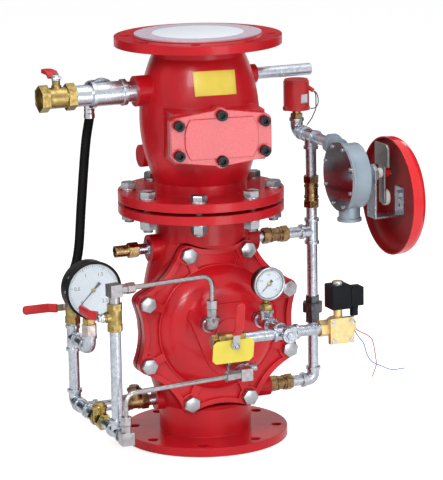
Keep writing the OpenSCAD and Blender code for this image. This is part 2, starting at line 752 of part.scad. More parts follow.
// Riser on the right, from the low port up to the water motor line
riser_tee_z = high_port_z;
union_z = 242;
union_half = 28;
check_mid_z = 493;
brass_check_l = 66;
brass_check_af = 30;
motor_tee_z = motor_line_z;
switch_elbow_y = switch_y;
inlet_face_y = -motor_y + 76;
riser_valve_x = 163;
low_check_x = 171;
low_check_l = 50;
module riser_pipework() {
    color(zinc) {
        low_elbow = [riser_x, 0, low_port_z];
        translate(low_elbow) rotate([0, 0, 180]) elbow(half_inch);
        translate([riser_x, 0, low_port_z + fit_cf])
            joining_pipe(half_inch, union_z - union_half - low_port_z - fit_cf);
        translate([riser_x, 0, union_z + union_half])
            joining_pipe(half_inch, riser_tee_z - fit_cf - union_z - union_half);
        translate([riser_x, 0, riser_tee_z]) fitting(half_inch, [UP, DOWN, LEFT]);
        translate([riser_x, 0, riser_tee_z + fit_cf])
            joining_pipe(half_inch, check_mid_z - brass_check_l / 2 - riser_tee_z - fit_cf);
        translate([riser_x, 0, check_mid_z + brass_check_l / 2])
            joining_pipe(half_inch, motor_tee_z - fit_cf - check_mid_z - brass_check_l / 2);
        translate([riser_x, 0, motor_tee_z]) fitting(half_inch, [DOWN, FRONT, BACK]);
        translate([riser_x, fit_cf, motor_tee_z]) to_back()
            joining_pipe(half_inch, switch_elbow_y - 2 * fit_cf);
        translate([riser_x, switch_elbow_y, motor_tee_z]) rotate([0, 0, -90]) elbow(half_inch);
        translate([riser_x, -fit_cf, motor_tee_z]) to_front()
            joining_pipe(half_inch, -inlet_face_y - fit_cf);
        // Short level nipples on both sides of the check valves above and below
        translate([boss_out, 0, riser_tee_z]) to_x()
            joining_pipe(half_inch, riser_valve_x - small_valve_l / 2 - boss_out);
        translate([riser_valve_x + small_valve_l / 2, 0, riser_tee_z]) to_x()
            joining_pipe(half_inch, riser_x - fit_cf - riser_valve_x - small_valve_l / 2);
        translate([low_right_out, 0, low_port_z]) to_x()
            joining_pipe(half_inch, low_check_x - low_check_l / 2 - low_right_out);
        translate([low_check_x + low_check_l / 2, 0, low_port_z]) to_x()
            joining_pipe(half_inch, riser_x - fit_cf - low_check_x - low_check_l / 2);
    }
}

// Malleable union: two hexagon tails and the big union nut
module riser_union() {
    color([0.25, 0.26, 0.28]) translate([riser_x, 0, union_z]) difference() {
        union() {
            translate([0, 0, -union_half]) hex(27, 2 * union_half);
            translate([0, 0, -6]) hex(39, 20);
        }
        translate([0, 0, -union_half - eps]) cylinder(d = pipe_id, h = 2 * union_half + 2 * eps);
        for (s = [0, 1]) mirror([0, 0, s]) translate([0, 0, union_half - screw_in])
            cylinder(d = pipe_od + 2 * thread_gap, h = screw_in + eps);
    }
}

// Brass spring check valves with hexagon ends and a grooved barrel, along +Z about their middle
module spring_check(l, af) {
    end = screw_in + 2;
    difference() {
        union() {
            for (s = [0, 1]) mirror([0, 0, s]) {
                translate([0, 0, l / 2 - end]) hex(af, end);
                translate([0, 0, l / 4 - end / 2]) cylinder(r = af / 2 + 0.6, h = 4);
            }
            cylinder(r = af / 2 - 1, h = l - 4, center = true);
        }
        cylinder(d = pipe_id - 4, h = l + 2 * eps, center = true);
        for (s = [0, 1]) mirror([0, 0, s]) translate([0, 0, l / 2 - screw_in])
            cylinder(d = pipe_od + 2 * thread_gap, h = screw_in + eps);
    }
}
// Swing check valve with its pipe along Y and a screwed cap on top
module swing_check() {
    to_front() spring_check(small_valve_l, brass_check_af);
    difference() {
        union() {
            cylinder(r = 13.5, h = 30);
            translate([0, 0, 24]) cylinder(r = 15.5, h = 4);
            translate([0, 0, 28]) hex(18, 7);
        }
        to_front() cylinder(r = small_valve_af / 2 - 2, h = 40, center = true);
    }
}
run_check_y = -88;
module brass_check_valves() {
    color(brass) {
        translate([riser_x, 0, check_mid_z]) spring_check(brass_check_l, brass_check_af);
        translate([low_check_x, 0, low_port_z]) to_x() spring_check(low_check_l, brass_check_af);
        translate([-run_x, run_check_y, low_port_z]) swing_check();
    }
}

// Pressure switch above the end of the motor line
switch_base_z = motor_line_z + fit_cf + 18;
module pressure_switch() {
    color(red) translate([riser_x, switch_y, switch_base_z]) {
        cylinder(d = switch_d + 4, h = 5);
        translate([0, 0, 5]) cylinder(d = switch_d, h = switch_h - 8);
        translate([0, 0, switch_h - 3]) cylinder(d = switch_d - 3, h = 3);
        rotate([0, 0, 12]) translate([-switch_d / 2 - 5, -5, 0]) cube([10, 10, 9]);
        rotate([0, 0, -30]) translate([switch_d / 2 - 2, 0, 47]) rotate([0, 125, 0]) cylinder(d = 9, h = 14);
    }
}
module switch_connector() {
    color(brass) translate([riser_x, switch_y, motor_line_z + fit_cf]) {
        translate([0, 0, 0.2]) hex(24, 9);
        translate([0, 0, -screw_in + 1]) cylinder(d = pipe_od, h = screw_in);
        cylinder(d = 18, h = 18 - 0.2);
    }
}
// Two thin leads that leave the switch on the right
switch_red_route = [
    [278.8, 50.3, 693.9], [280.5, 49, 692], [281.5, 47, 688], [281.5, 45, 680], [280.5, 43, 670],
    [279, 41, 658], [274, 40, 648], [268.5, 39, 639], [257.5, 38, 626]
];
switch_green_route = [
    [280.5, 53.2, 693.9], [284, 51, 691], [287, 50, 685], [288, 48, 677], [287, 47, 668],
    [282, 47, 660], [271, 48, 657.5]
];
module switch_wire_red() { color([0.4, 0.08, 0.08]) hose_tube(switch_red_route, 1.2, 8, [1, 1, 0]); }
module switch_wire_green() { color([0.05, 0.4, 0.25]) hose_tube(switch_green_route, 1.2, 8); }

// Water motor: turbine housing with a tangential inlet and a drain outlet below
module on_motor() { translate([motor_x, -motor_y, motor_z]) to_x() children(); }
inlet_dz = motor_line_z - motor_z;
drain_len = 22;
module motor_housing() {
    color([0.62, 0.65, 0.68]) difference() {
        union() {
            on_motor() translate([0, 0, 4]) {
                cylinder(d = motor_d, h = 5);
                translate([0, 0, 4]) cylinder(d = motor_d - 8, h = motor_t - 6);
                translate([0, 0, motor_t - 3]) cylinder(d = motor_d - 16, h = 3);
                translate([0, 0, motor_t - 1])
                    cylinder(d1 = 44, d2 = 36, h = strap_x0 - motor_x - 3 - motor_t);
                cylinder(d = spigot_d, h = hub_end - 4);
            }
            translate([riser_x, inlet_face_y, motor_line_z]) to_front() {
                rotate([0, 0, 22.5]) cylinder(r = 22, h = 16, $fn = 8);
                cylinder(r = 17, h = 44);
            }
            translate([motor_x + 4 + motor_t / 2, -motor_y, motor_z - motor_d / 2 - drain_len]) {
                cylinder(d = 44, h = drain_len + 30);
                cylinder(d = 50, h = 6);
            }
        }
        on_motor() translate([0, 0, -1]) cylinder(d = motor_d + 1, h = 5);
        on_motor() translate([0, 0, 3]) cylinder(d = motor_d - 24, h = motor_t - 8);
        on_motor() cylinder(r = shaft_r + run_gap, h = motor_t + 60);
        translate([riser_x, inlet_face_y + eps, motor_line_z]) to_front()
            cylinder(d = pipe_od + 2 * thread_gap, h = screw_in + eps);
        translate([riser_x, inlet_face_y + eps, motor_line_z]) to_front() cylinder(d = pipe_id, h = 60);
        translate([motor_x + 4 + motor_t / 2, -motor_y, motor_z - motor_d / 2 - drain_len - eps]) {
            cylinder(d = 33.5, h = drain_len + eps);
            cylinder(d = 28, h = drain_len + 30);
        }
        on_motor() plate_screw_places() translate([0, 0, 3]) cylinder(d = 4.2, h = 14);
    }
}
// Eight screws round the plate, as angle steps from the top
module plate_screw_places() {
    for (i = [0:7]) rotate([0, 0, 22.5 + 45 * i]) translate([motor_d / 2 - 7, 0, 0]) children();
}
module motor_plate() {
    color(steel) on_motor() difference() {
        cylinder(d = motor_d, h = 4);
        plate_screw_places() translate([0, 0, -eps]) cylinder(d = 5.2, h = 6);
    }
}
module plate_screws() {
    color(steel) on_motor() plate_screw_places() {
        translate([0, 0, -3]) cylinder(d = 8, h = 3);
        translate([0, 0, -0.2]) cylinder(d = 4, h = 14);
    }
    color(steel) at_solenoid() translate([0, -solenoid_front, 0]) to_front() solenoid_screw_places() {
        cylinder(d = 9, h = 3.5);
        translate([0, 0, -12]) cylinder(d = 5, h = 12.2);
    }
}

// Turbine wheel, shaft, bush, balance plate and striker arm
arm_z = 97;
shaft_r = 6;
spigot_d = 26;
hub_end = 82;
module striker_shaft() {
    color(steel) on_motor() {
        translate([0, 0, 7]) cylinder(r = shaft_r, h = hub_end + 38);
        translate([0, 0, 9]) cylinder(d = motor_d - 32, h = 18);
    }
    color("white") on_motor() translate([0, 0, hub_end + 5]) tube(10, 20, 2 * shaft_r + 0.2);
    color([0.55, 0.56, 0.57]) on_motor() translate([0, 0, arm_z]) difference() {
        linear_extrude(5) {
            translate([-60, -30]) square([46, 60]);
            translate([-16, -14]) square([32, 28]);
            translate([0, -12]) square([striker_r, 24]);
            translate([striker_r, 0]) circle(r = 12);
        }
        translate([0, 0, -eps]) cylinder(r = shaft_r + 0.1, h = 6);
    }
    color(red) on_motor() translate([0, 0, arm_z + 5]) difference() {
        hex(19, 10);
        translate([0, 0, -eps]) cylinder(r = shaft_r + 0.1, h = 11);
    }
}
// White striker puck at the end of the arm
module striker() {
    color("white") on_motor() translate([striker_r, 0, arm_z + 5]) cylinder(d = striker_d, h = 8);
    color(steel) on_motor() translate([striker_r, 0, arm_z + 13]) hex(8, 4);
}

// Galvanised strap that hangs the gong on the back of the water motor
strap_w = 38;
strap_t = 4;
strap_x0 = 300;
gong_back_x = gong_x + gong_t;
gong_z = motor_z - gong_drop;
strap_low_z = gong_z - 42;
module gong_bracket() {
    strap_x1 = gong_back_x - gong_wall;
    color(zinc) difference() {
        union() {
            translate([strap_x0, -motor_y - strap_w / 2, strap_low_z])
                cube([strap_t, strap_w, motor_z - strap_low_z]);
            translate([strap_x0, -motor_y, motor_z]) to_x() cylinder(d = strap_w, h = strap_t);
            translate([strap_x0, -motor_y - strap_w / 2, strap_low_z])
                cube([strap_x1 - strap_x0, strap_w, strap_t]);
            translate([strap_x1 - strap_t, -motor_y - strap_w / 2, strap_low_z])
                cube([strap_t, strap_w, 58]);
        }
        translate([strap_x0 - eps, -motor_y, motor_z]) to_x() cylinder(d = spigot_d + 0.3, h = strap_t + 1);
        translate([strap_x1 - strap_t - eps, -motor_y, gong_z]) to_x() cylinder(d = 10.2, h = strap_t + 1);
        translate([strap_x1 - strap_t - eps, -motor_y, gong_z - 22]) to_x() cylinder(d = 7, h = strap_t + 1);
    }
    // Ring nut that clamps the strap on the motor, and the bolt that holds the gong
    color(zinc) translate([strap_x0 + strap_t, -motor_y, motor_z]) to_x() difference() {
        hex(34, 4.6);
        translate([0, 0, -eps]) cylinder(d = spigot_d + 0.2, h = 6);
    }
    color(steel) translate([strap_x1 - strap_t, -motor_y, gong_z]) to_x() {
        translate([0, 0, -6]) hex(16, 6);
        translate([0, 0, -0.2]) cylinder(d = 10, h = strap_t + gong_wall + 12);
        translate([0, 0, strap_t + gong_wall]) difference() {
            hex(16, 8);
            translate([0, 0, -eps]) cylinder(d = 10.2, h = 9);
        }
    }
}
module gong() {
    r = gong_d / 2;
    color(red) translate([gong_x, -motor_y, gong_z]) to_x() difference() {
        rotate_extrude($fn = 96) difference() {
            gong_profile(r, gong_t);
            translate([0, -gong_wall]) gong_profile(r - gong_wall, gong_t);
        }
        translate([0, 0, gong_t - gong_wall - 1]) cylinder(d = 10.2, h = gong_wall + 2);
    }
}
// Half profile of a bowl with a rounded shoulder, mouth at y = 0
module gong_profile(r, h) {
    round_r = 20;
    square([r, h - round_r]);
    square([r - round_r, h]);
    translate([r - round_r, h - round_r]) intersection() {
        circle(r = round_r);
        square([round_r, round_r]);
    }
}

// Ball valves: length, flats, barrel radius, ball radius, lever length, pipe size, lever height, lever width
small_valve = [
    small_valve_l, small_valve_af, small_barrel_r, small_ball_r, small_lever_l, half_inch,
    small_lever_z, small_lever_w
];
fill_valve = [
    fill_valve_l, fill_valve_af, fill_barrel_r, fill_ball_r, fill_lever_l, fill_size,
    fill_lever_z, fill_lever_w
];
stem_r = 4;
// The pipe runs along X and the stem stands up along Z
module valve_body(v) {
    s = v[5];
    end = s[5] + 2;
    color(brass) difference() {
        union() {
            for (m = [0, 1]) mirror([m, 0, 0]) translate([v[0] / 2 - end, 0, 0]) to_x() hex(v[1], end);
            translate([-v[0] / 2 + 4, 0, 0]) to_x() cylinder(r = v[2], h = v[0] - 8);
            cylinder(r = 8, h = v[2] + v[6] - 5);
            cylinder(r = 10, h = v[2] + 4);
        }
        sphere(r = v[3] + seat_gap);
        cylinder(r = stem_r + run_gap, h = v[2] + 20);
        translate([-v[0] / 2 - eps, 0, 0]) to_x() cylinder(r = v[3] * 0.7, h = v[0] + 2 * eps);
        for (m = [0, 1]) mirror([m, 0, 0]) translate([v[0] / 2 - s[5], 0, 0]) to_x()
            cylinder(d = s[0] + 2 * thread_gap, h = s[5] + eps);
    }
}
// Ball, stem, cranked lever with its nut, and the sleeve; closed, the lever points along Y
lever_t = 3;
module lever_strip(v, grow, start = -8, tip = 0) {
    l = v[4];
    rise = l * 0.1;
    end = l + tip + grow;
    width = v[7] + 2 * grow;
    translate([-width / 2, 0, v[2] + v[6]]) rotate([90, 0, 90]) linear_extrude(width) polygon([
        [start, -grow], [l * 0.3 + grow, -grow], [l * 0.42, rise - grow], [end, rise - grow],
        [end, rise + lever_t + grow], [l * 0.42 - grow, rise + lever_t + grow],
        [l * 0.3 - grow, lever_t + grow], [start, lever_t + grow]
    ]);
}
sleeve_wall = 2.2;
sleeve_tip = 2.8;
module lever_sleeve(v) {
    r = v[7] * 0.62 + sleeve_wall;
    difference() {
        intersection() {
            lever_strip(v, sleeve_wall, v[4] * 0.25, sleeve_tip);
            translate([0, v[4] + sleeve_tip + sleeve_wall - r, v[2]]) linear_extrude(v[6] + v[4]) {
                circle(r = r);
                translate([-r, -v[4]]) square([2 * r, v[4]]);
            }
        }
        lever_strip(v, 0.15);
    }
}
module valve_lever(v) {
    top = v[2] + v[6];
    color(steel) {
        difference() {
            union() {
                sphere(r = v[3]);
                cylinder(r = stem_r, h = top + 9);
            }
            to_front() cylinder(r = v[3] * 0.7, h = 3 * v[3], center = true);
        }
        translate([0, 0, top - 4]) cylinder(r = 9, h = 4);
        lever_strip(v, 0);
        translate([0, 0, top + lever_t - 0.2]) hex(12, 5);
    }
    color(red) lever_sleeve(v);
}

back_valve_z = 284;
front_valve_z = 324;
branch_valve_x = -156.5;
centre_valve_x = -52;
centre_tilt = 11;
module on_fill_valve() { translate([fill_valve_x, 0, fill_z]) children(); }
module on_riser_valve() { translate([riser_valve_x, 0, riser_tee_z]) children(); }
module on_branch_valve() { translate([branch_valve_x, 0, low_port_z]) children(); }
module on_centre_valve() {
    translate([centre_valve_x, -cross_y, port_z]) rotate([90 + centre_tilt, 0, 0]) children();
}
module on_front_valve() { translate([-run_x, -front_y, front_valve_z]) rotate([0, -90, 0]) children(); }
module on_back_valve() { translate([-run_x, back_y, back_valve_z]) rotate([-90, 90, 0]) children(); }
module fill_valve_body() { on_fill_valve() valve_body(fill_valve); }
module fill_valve_lever() { on_fill_valve() valve_lever(fill_valve); }
module riser_valve_body() {
    on_riser_valve() color(brass) to_x() spring_check(small_valve_l, brass_check_af);
}
module branch_valve_body() {
    on_branch_valve() color(brass) rotate([0, 0, 90]) swing_check();
}
module centre_valve_body() { on_centre_valve() valve_body(small_valve); }
module centre_valve_lever() { on_centre_valve() valve_lever(small_valve); }
module front_valve_body() { on_front_valve() valve_body(small_valve); }
module front_valve_lever() { on_front_valve() valve_lever(small_valve); }
module back_valve_body() { on_back_valve() valve_body(small_valve); }
module back_valve_lever() { on_back_valve() valve_lever(small_valve); }

// Pipework on the deluge cover's main port: tee for the gauge, cross, and the two level pipes
module cover_trim() {
    color(zinc) {
        translate([port_x, -port_face_y, port_z]) to_front()
            joining_pipe(half_inch, gauge_tee_y - fit_cf - port_face_y);
        translate([port_x, -gauge_tee_y, port_z]) fitting(half_inch, [BACK, FRONT, UP]);
        translate([port_x, -gauge_tee_y - fit_cf, port_z]) to_front()
            joining_pipe(half_inch, cross_y - gauge_tee_y - 2 * fit_cf);
        translate([port_x, -cross_y, port_z]) fitting(half_inch, [BACK, FRONT, LEFT, RIGHT]);
        translate([port_x, -cross_y - fit_cf, port_z]) to_front() plug(15, 6);
        left = port_x - fit_cf;
        translate([centre_valve_x + small_valve_l / 2, -cross_y, port_z]) to_x()
            joining_pipe(half_inch, left - centre_valve_x - small_valve_l / 2);
        translate([port_x + fit_cf, -cross_y, port_z]) to_x()
            joining_pipe(half_inch, solenoid_x - solenoid_in - port_x - fit_cf);
    }
    color(brass) translate([centre_valve_x - small_valve_l / 2, -cross_y, port_z]) rotate(LEFT) plug(24, 12);
}
// A plug screwed into a fitting face, with a hexagon or small head
module plug(af, h) {
    translate([0, 0, -screw_in + 0.5]) cylinder(d = pipe_od, h = screw_in - 0.2);
    translate([0, 0, 0]) hex(af, h);
}

// Gauge with its face plane at z = 0, dial upright and stem downwards
dial_deep = 6;
module gauge(d, t, stem_back, drop, adapter = 0) {
    color(black) difference() {
        union() {
            translate([0, 0, -7]) cylinder(d = d, h = 7);
            translate([0, 0, -t]) cylinder(d = d - 5, h = t - 6);
        }
        translate([0, 0, -dial_deep]) cylinder(d = d - 10, h = dial_deep + eps);
        translate([0, 0, -12]) cylinder(r = 2 + run_gap, h = 12);
    }
    translate([0, -drop, -stem_back]) rotate([-90, 0, 0]) {
        color(adapter > 0 ? zinc : brass) {
            translate([0, 0, -screw_in + 1]) cylinder(d = pipe_od, h = screw_in);
            hex(adapter > 0 ? 28 : 24, adapter > 0 ? adapter : 6);
        }
        color(brass) {
            translate([0, 0, adapter]) hex(24, 12);
            translate([0, 0, 2]) cylinder(d = 13, h = drop - d / 2 + 4);
        }
    }
}
// Needle with its zero at the lower left of the dial
module needle(l) {
    color("black") {
        translate([0, 0, -11]) cylinder(r = 2, h = 8);
        translate([0, 0, -4.5]) cylinder(r = 5, h = 1.5);
        rotate([0, 0, 225]) translate([0, 0, -4.5]) linear_extrude(1)
            polygon([[-l * 0.3, -2.5], [-l * 0.3, 2.5], [l, 0.5], [l, -0.5]]);
    }
}
big_face_y = 77;
small_face_y = gauge_tee_y + 23;
gauge_elbow_y = 40;
stack_tee_z = 226;
module on_big_gauge() { translate([-run_x, -big_face_y, big_gauge_z]) to_front() children(); }
module on_small_gauge() { translate([port_x, -small_face_y, small_gauge_z]) to_front() children(); }
module large_gauge() {
    on_big_gauge() gauge(big_gauge_d, big_gauge_t, big_face_y - gauge_elbow_y,
        big_gauge_z - stack_tee_z - fit_cf, 24);
}
module large_gauge_needle() { on_big_gauge() needle(big_gauge_d / 2 - 12); }
module small_gauge() {
    on_small_gauge() gauge(small_gauge_d, small_gauge_t, 23, small_gauge_z - port_z - fit_cf);
}
module small_gauge_needle() { on_small_gauge() needle(small_gauge_d / 2 - 12); }

// Blank plate hung on the neck of the centre valve
module inspection_tag() {
    color([0.85, 0.78, 0.25]) on_centre_valve() translate([0, 0, small_barrel_r + 6.4]) difference() {
        linear_extrude(1) polygon([
            [-45, 2], [-38, 9], [35, 9], [42, 2], [42, -32], [34, -40], [-37, -40], [-45, -32]
        ]);
        translate([0, 0, -eps]) cylinder(r = 8.2, h = 3);
    }
}

// Solenoid valve: brass body with its plunger tube, coil, plug and two leads
solenoid_front = 26;
solenoid_in = 40;
tube_back = 4.4;
module at_solenoid() { translate([solenoid_x, -cross_y, port_z - 3]) children(); }
module solenoid_screw_places() {
    for (s = [-1, 1], t = [-1, 1]) translate([s * 19.5, t * 19.5, 0]) children();
}
module solenoid_body() {
    color(brass) at_solenoid() difference() {
        union() {
            translate([-solenoid_w / 2, -solenoid_front, -solenoid_w / 2])
                cube([solenoid_w, 12, solenoid_w]);
            translate([0, 18, 0]) to_front() cylinder(r = 22, h = 36);
            translate([-solenoid_in, 0, 3]) to_x() hex(30, 24);
            translate([16, 0, 3]) to_x() hex(26, 20);
            translate([0, -tube_back, 10]) cylinder(r = 9, h = 88);
        }
        translate([0, -tube_back, 16]) cylinder(r = 5 + run_gap, h = 64);
        translate([-solenoid_in, 0, 3]) to_x() translate([0, 0, screw_in]) mirror([0, 0, 1])
            cylinder(d = pipe_od + 2 * thread_gap, h = screw_in + eps);
        translate([-solenoid_in, 0, 3]) to_x() cylinder(d = 13, h = 90);
        translate([0, -solenoid_front, 0]) to_front() solenoid_screw_places()
            translate([0, 0, -13]) cylinder(d = 5.2, h = 13 + eps);
    }
}
module solenoid_plunger() {
    color(steel) at_solenoid() translate([0, -tube_back, 17]) cylinder(r = 5, h = 50);
}
coil_z = 43;
module solenoid_coil() {
    color(black) at_solenoid() difference() {
        translate([-coil_w / 2, -solenoid_front, coil_z]) cube([coil_w, coil_w, coil_h]);
        translate([0, -tube_back, coil_z - eps]) cylinder(r = 9.2, h = coil_h + 1);
    }
    color(steel) at_solenoid() translate([0, -tube_back, coil_z + coil_h]) tube(6, 23, 18.2);
}
module solenoid_plug() {
    color(black) at_solenoid() {
        translate([coil_w / 2, -22, coil_z + 3]) cube([29, 30, coil_h - 10]);
        translate([coil_w / 2 + 13, -7, coil_z - 18]) cylinder(d = 20, h = 22);
    }
}
solenoid_red_route = [
    [217.3, -263.8, 292.8], [217.8, -257, 284], [219.5, -257, 272], [221.5, -261, 265],
    [222.5, -267, 260.5], [224, -274, 258.6], [227, -282, 256.8], [236, -288, 252],
    [244.5, -291, 243], [247, -293, 232.5],
    [249, -294, 219.5], [251, -294, 206], [252.5, -294, 193], [249.5, -294, 181.5], [243, -294, 166.5]
];
solenoid_blue_route = [
    [217.3, -266.9, 292.8], [217.7, -261, 284], [218, -260, 274], [218, -262, 264], [218.3, -269, 257],
    [217.5, -277, 254], [219, -285, 248.5], [225.5, -291, 237.5], [228, -295, 225], [231, -297, 213.5],
    [239, -298, 201], [249, -299, 193.5], [263, -299, 187], [279, -299, 179], [290, -299, 176.5],
    [304, -299, 177], [314, -299, 177]
];
module solenoid_wire_red() { color([0.7, 0.05, 0.05]) hose_tube(solenoid_red_route, 1, 8); }
module solenoid_wire_blue() { color([0.1, 0.15, 0.5]) hose_tube(solenoid_blue_route, 1, 8); }

// Left run: branch tee on the low port, stack behind, pipes in front
module run_pipework() {
    color(zinc) translate([-run_x, 0, low_port_z]) {
        fitting(half_inch, [RIGHT, FRONT, BACK]);
        to_x() translate([0, 0, fit_cf])
            joining_pipe(half_inch, run_x + branch_valve_x - small_valve_l / 2 - fit_cf);
        to_x() translate([0, 0, run_x + branch_valve_x + small_valve_l / 2])
            joining_pipe(half_inch, -branch_valve_x - small_valve_l / 2 - low_left_out);
        to_back() translate([0, 0, fit_cf]) joining_pipe(half_inch, back_y - 2 * fit_cf);
        translate([0, back_y, 0]) rotate([0, 0, -90]) elbow(half_inch);
        to_front() translate([0, 0, fit_cf])
            joining_pipe(half_inch, -run_check_y - small_valve_l / 2 - fit_cf);
        to_front() translate([0, 0, small_valve_l / 2 - run_check_y])
            joining_pipe(half_inch, front_y - fit_cf + run_check_y - small_valve_l / 2);
        translate([0, -front_y, 0]) fitting(half_inch, [BACK, UP, FRONT]);
        translate([0, -front_y, fit_cf])
            joining_pipe(half_inch, front_valve_z - small_valve_l / 2 - low_port_z - fit_cf);
    }
    color(zinc) translate([-run_x, back_y, 0]) {
        translate([0, 0, low_port_z + fit_cf])
            joining_pipe(half_inch, stack_tee_z - low_port_z - 2 * fit_cf);
        translate([0, 0, stack_tee_z]) fitting(half_inch, [UP, DOWN, FRONT]);
        translate([0, 0, stack_tee_z + fit_cf])
            joining_pipe(half_inch, back_valve_z - small_valve_l / 2 - stack_tee_z - fit_cf);
        translate([0, -fit_cf, stack_tee_z]) to_front()
            joining_pipe(half_inch, back_y + gauge_elbow_y - 2 * fit_cf);
        translate([0, -back_y - gauge_elbow_y, stack_tee_z]) rotate([0, 0, 90]) elbow(half_inch);
    }
}

// Stainless sensing tubes between the cover and the left run, with their screwed elbows
sense_y = 160;
sense_tee_y = 166;
low_sense_y = 205;
front_elbow_y = 238;
high_tube_z = 378;
small_fit = [pipe_od, 13, 15.2, 5.5, 21, 11, pipe_id];
high_turn = atan2(front_y - sense_y, run_x + ports[1][0]);
high_run = norm([front_y - sense_y, run_x + ports[1][0]]);
low_turn = atan2(front_elbow_y - low_sense_y, run_x + ports[2][0]);
low_run = norm([front_elbow_y - low_sense_y, run_x + ports[2][0]]);
// Compression nut and body along +Z
module tube_nut() {
    translate([0, 0, 10]) hex(18, 16);
    translate([0, 0, 27]) hex(20, 17);
    translate([0, 0, 20]) cylinder(d = 14, h = 20);
}
module sense_elbow(nut, male, l) {
    cube(25, center = true);
    rotate(nut) tube_nut();
    rotate(male) translate([0, 0, 10]) cylinder(d = pipe_od, h = l - 10);
}
// Tube that stands up by h, bends and runs l towards -X
module tube_run(h, l) {
    cylinder(d = tube_od, h = h - tube_bend);
    translate([-tube_bend, 0, h - tube_bend]) rotate([90, 0, 0])
        rotate_extrude(angle = 90) translate([tube_bend, 0]) circle(d = tube_od);
    translate([-tube_bend, 0, h]) rotate(LEFT) cylinder(d = tube_od, h = l - tube_bend);
}
module sensing_tubes() {
    color(steel) {
        translate([ports[1][0], -sense_y, ports[1][1]]) {
            rotate([0, 0, 90]) elbow(small_fit);
            translate([0, 0, small_fit[4] - 10]) {
                cylinder(d = pipe_od, h = 10.5);
                tube_nut();
            }
            translate([0, sense_y - port_face_y, 0]) to_front()
                joining_pipe(small_fit, sense_y - port_face_y - small_fit[4]);
            rotate([0, 0, high_turn]) translate([0, 0, 30])
                tube_run(high_tube_z - ports[1][1] - 30, high_run - 30);
        }
        translate([-run_x, -front_y, high_tube_z])
            rotate([0, 0, high_turn])
                sense_elbow(RIGHT, DOWN, high_tube_z - front_valve_z - small_valve_l / 2 + 11.5);
        translate([-run_x, -front_elbow_y, low_port_z]) {
            sense_elbow(UP, BACK, front_elbow_y - front_y - fit_cf + 11.5);
            translate([0, 0, 30]) rotate([0, 0, 180 + low_turn])
                tube_run(ports[2][1] - low_port_z - 30, low_run - 30);
        }
        translate([ports[2][0], -port_face_y, ports[2][1]]) to_front()
            joining_pipe(small_fit, sense_tee_y - small_fit[4] - port_face_y);
        translate([ports[2][0], -sense_tee_y, ports[2][1]]) {
            fitting(small_fit, [BACK, FRONT, RIGHT]);
            translate([small_fit[4], 0, 0]) to_x() {
                translate([0, 0, -10]) cylinder(d = pipe_od, h = 12);
                cylinder(d = 17, h = 19);
            }
        }
        translate([ports[2][0], -low_sense_y, ports[2][1]]) {
            rotate([0, 0, low_turn]) rotate(LEFT) tube_nut();
            cube(25, center = true);
            to_back() translate([0, 0, 10])
                cylinder(d = pipe_od, h = low_sense_y - sense_tee_y - small_fit[4]);
        }
    }
}

// Drip valve on the left high port: nipple, hexagon, and open barrel with a cross pin
module drip_valve() {
    translate([-boss_out, 0, high_port_z]) rotate(LEFT) {
        color(zinc) {
            translate([0, 0, -screw_in + 0.5]) tube(37, pipe_od, pipe_id);
            difference() {
                hex(32, 4);
                translate([0, 0, -eps]) cylinder(d = pipe_od - 1, h = 6);
            }
        }
        color(brass) {
            difference() {
                union() {
                    translate([0, 0, 24]) hex(28, 21);
                    translate([0, 0, 45]) cylinder(d = 24, h = 28);
                }
                translate([0, 0, 23]) cylinder(d = 15.4, h = 60);
                translate([0, 0, 60]) cylinder(d = 19, h = 20);
            }
            translate([0, 0, 66]) to_front() cylinder(d = 3, h = 26, center = true);
        }
    }
}

deluge_body();
deluge_cover();
diaphragm();
diaphragm_disc();
diaphragm_spring();
seat_ring();
cover_bolts();
gaskets();
flange_bolts();
check_body();
check_cover();
cover_screws();
clapper();
hinge_pin();
outlet_disc();
fill_pipework();
fill_valve_body();
fill_valve_lever();
drain_hose();
test_pipe();
riser_pipework();
riser_union();
brass_check_valves();
riser_valve_body();
pressure_switch();
switch_connector();
switch_wire_red();
switch_wire_green();
motor_housing();
motor_plate();
plate_screws();
striker_shaft();
striker();
gong_bracket();
gong();
cover_trim();
centre_valve_body();
centre_valve_lever();
small_gauge();
small_gauge_needle();
inspection_tag();
solenoid_body();
solenoid_coil();
solenoid_plunger();
solenoid_plug();
solenoid_wire_red();
solenoid_wire_blue();
run_pipework();
front_valve_body();
front_valve_lever();
back_valve_body();
back_valve_lever();
branch_valve_body();
large_gauge();
large_gauge_needle();
sensing_tubes();
drip_valve();
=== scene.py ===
from math import cos, pi, radians, sin, tau

import bmesh
import bpy
from mathutils import Matrix, Vector
from mathutils.bvhtree import BVHTree


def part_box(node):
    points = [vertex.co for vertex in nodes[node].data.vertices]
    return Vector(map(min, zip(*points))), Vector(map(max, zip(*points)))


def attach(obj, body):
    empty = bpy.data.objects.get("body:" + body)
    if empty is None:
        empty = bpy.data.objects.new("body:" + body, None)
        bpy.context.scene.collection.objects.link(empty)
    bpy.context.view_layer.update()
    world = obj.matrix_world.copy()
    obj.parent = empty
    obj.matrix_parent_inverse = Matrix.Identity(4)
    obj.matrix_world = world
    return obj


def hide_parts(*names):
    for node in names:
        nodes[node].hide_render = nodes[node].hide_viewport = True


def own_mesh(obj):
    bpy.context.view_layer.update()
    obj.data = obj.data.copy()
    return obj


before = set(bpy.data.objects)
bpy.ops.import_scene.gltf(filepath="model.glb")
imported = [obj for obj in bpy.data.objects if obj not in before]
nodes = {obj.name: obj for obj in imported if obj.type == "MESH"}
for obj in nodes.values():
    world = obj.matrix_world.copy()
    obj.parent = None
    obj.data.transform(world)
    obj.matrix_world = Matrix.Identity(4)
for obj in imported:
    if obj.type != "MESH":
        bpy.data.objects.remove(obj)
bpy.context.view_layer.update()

# Camera: a long lens five and a half metres in front of the valve, a little to its left and above.
# Its place, aim, roll and focal length follow the photograph.
camera_place = Vector((-2.04989, -5.01335, 1.61001))
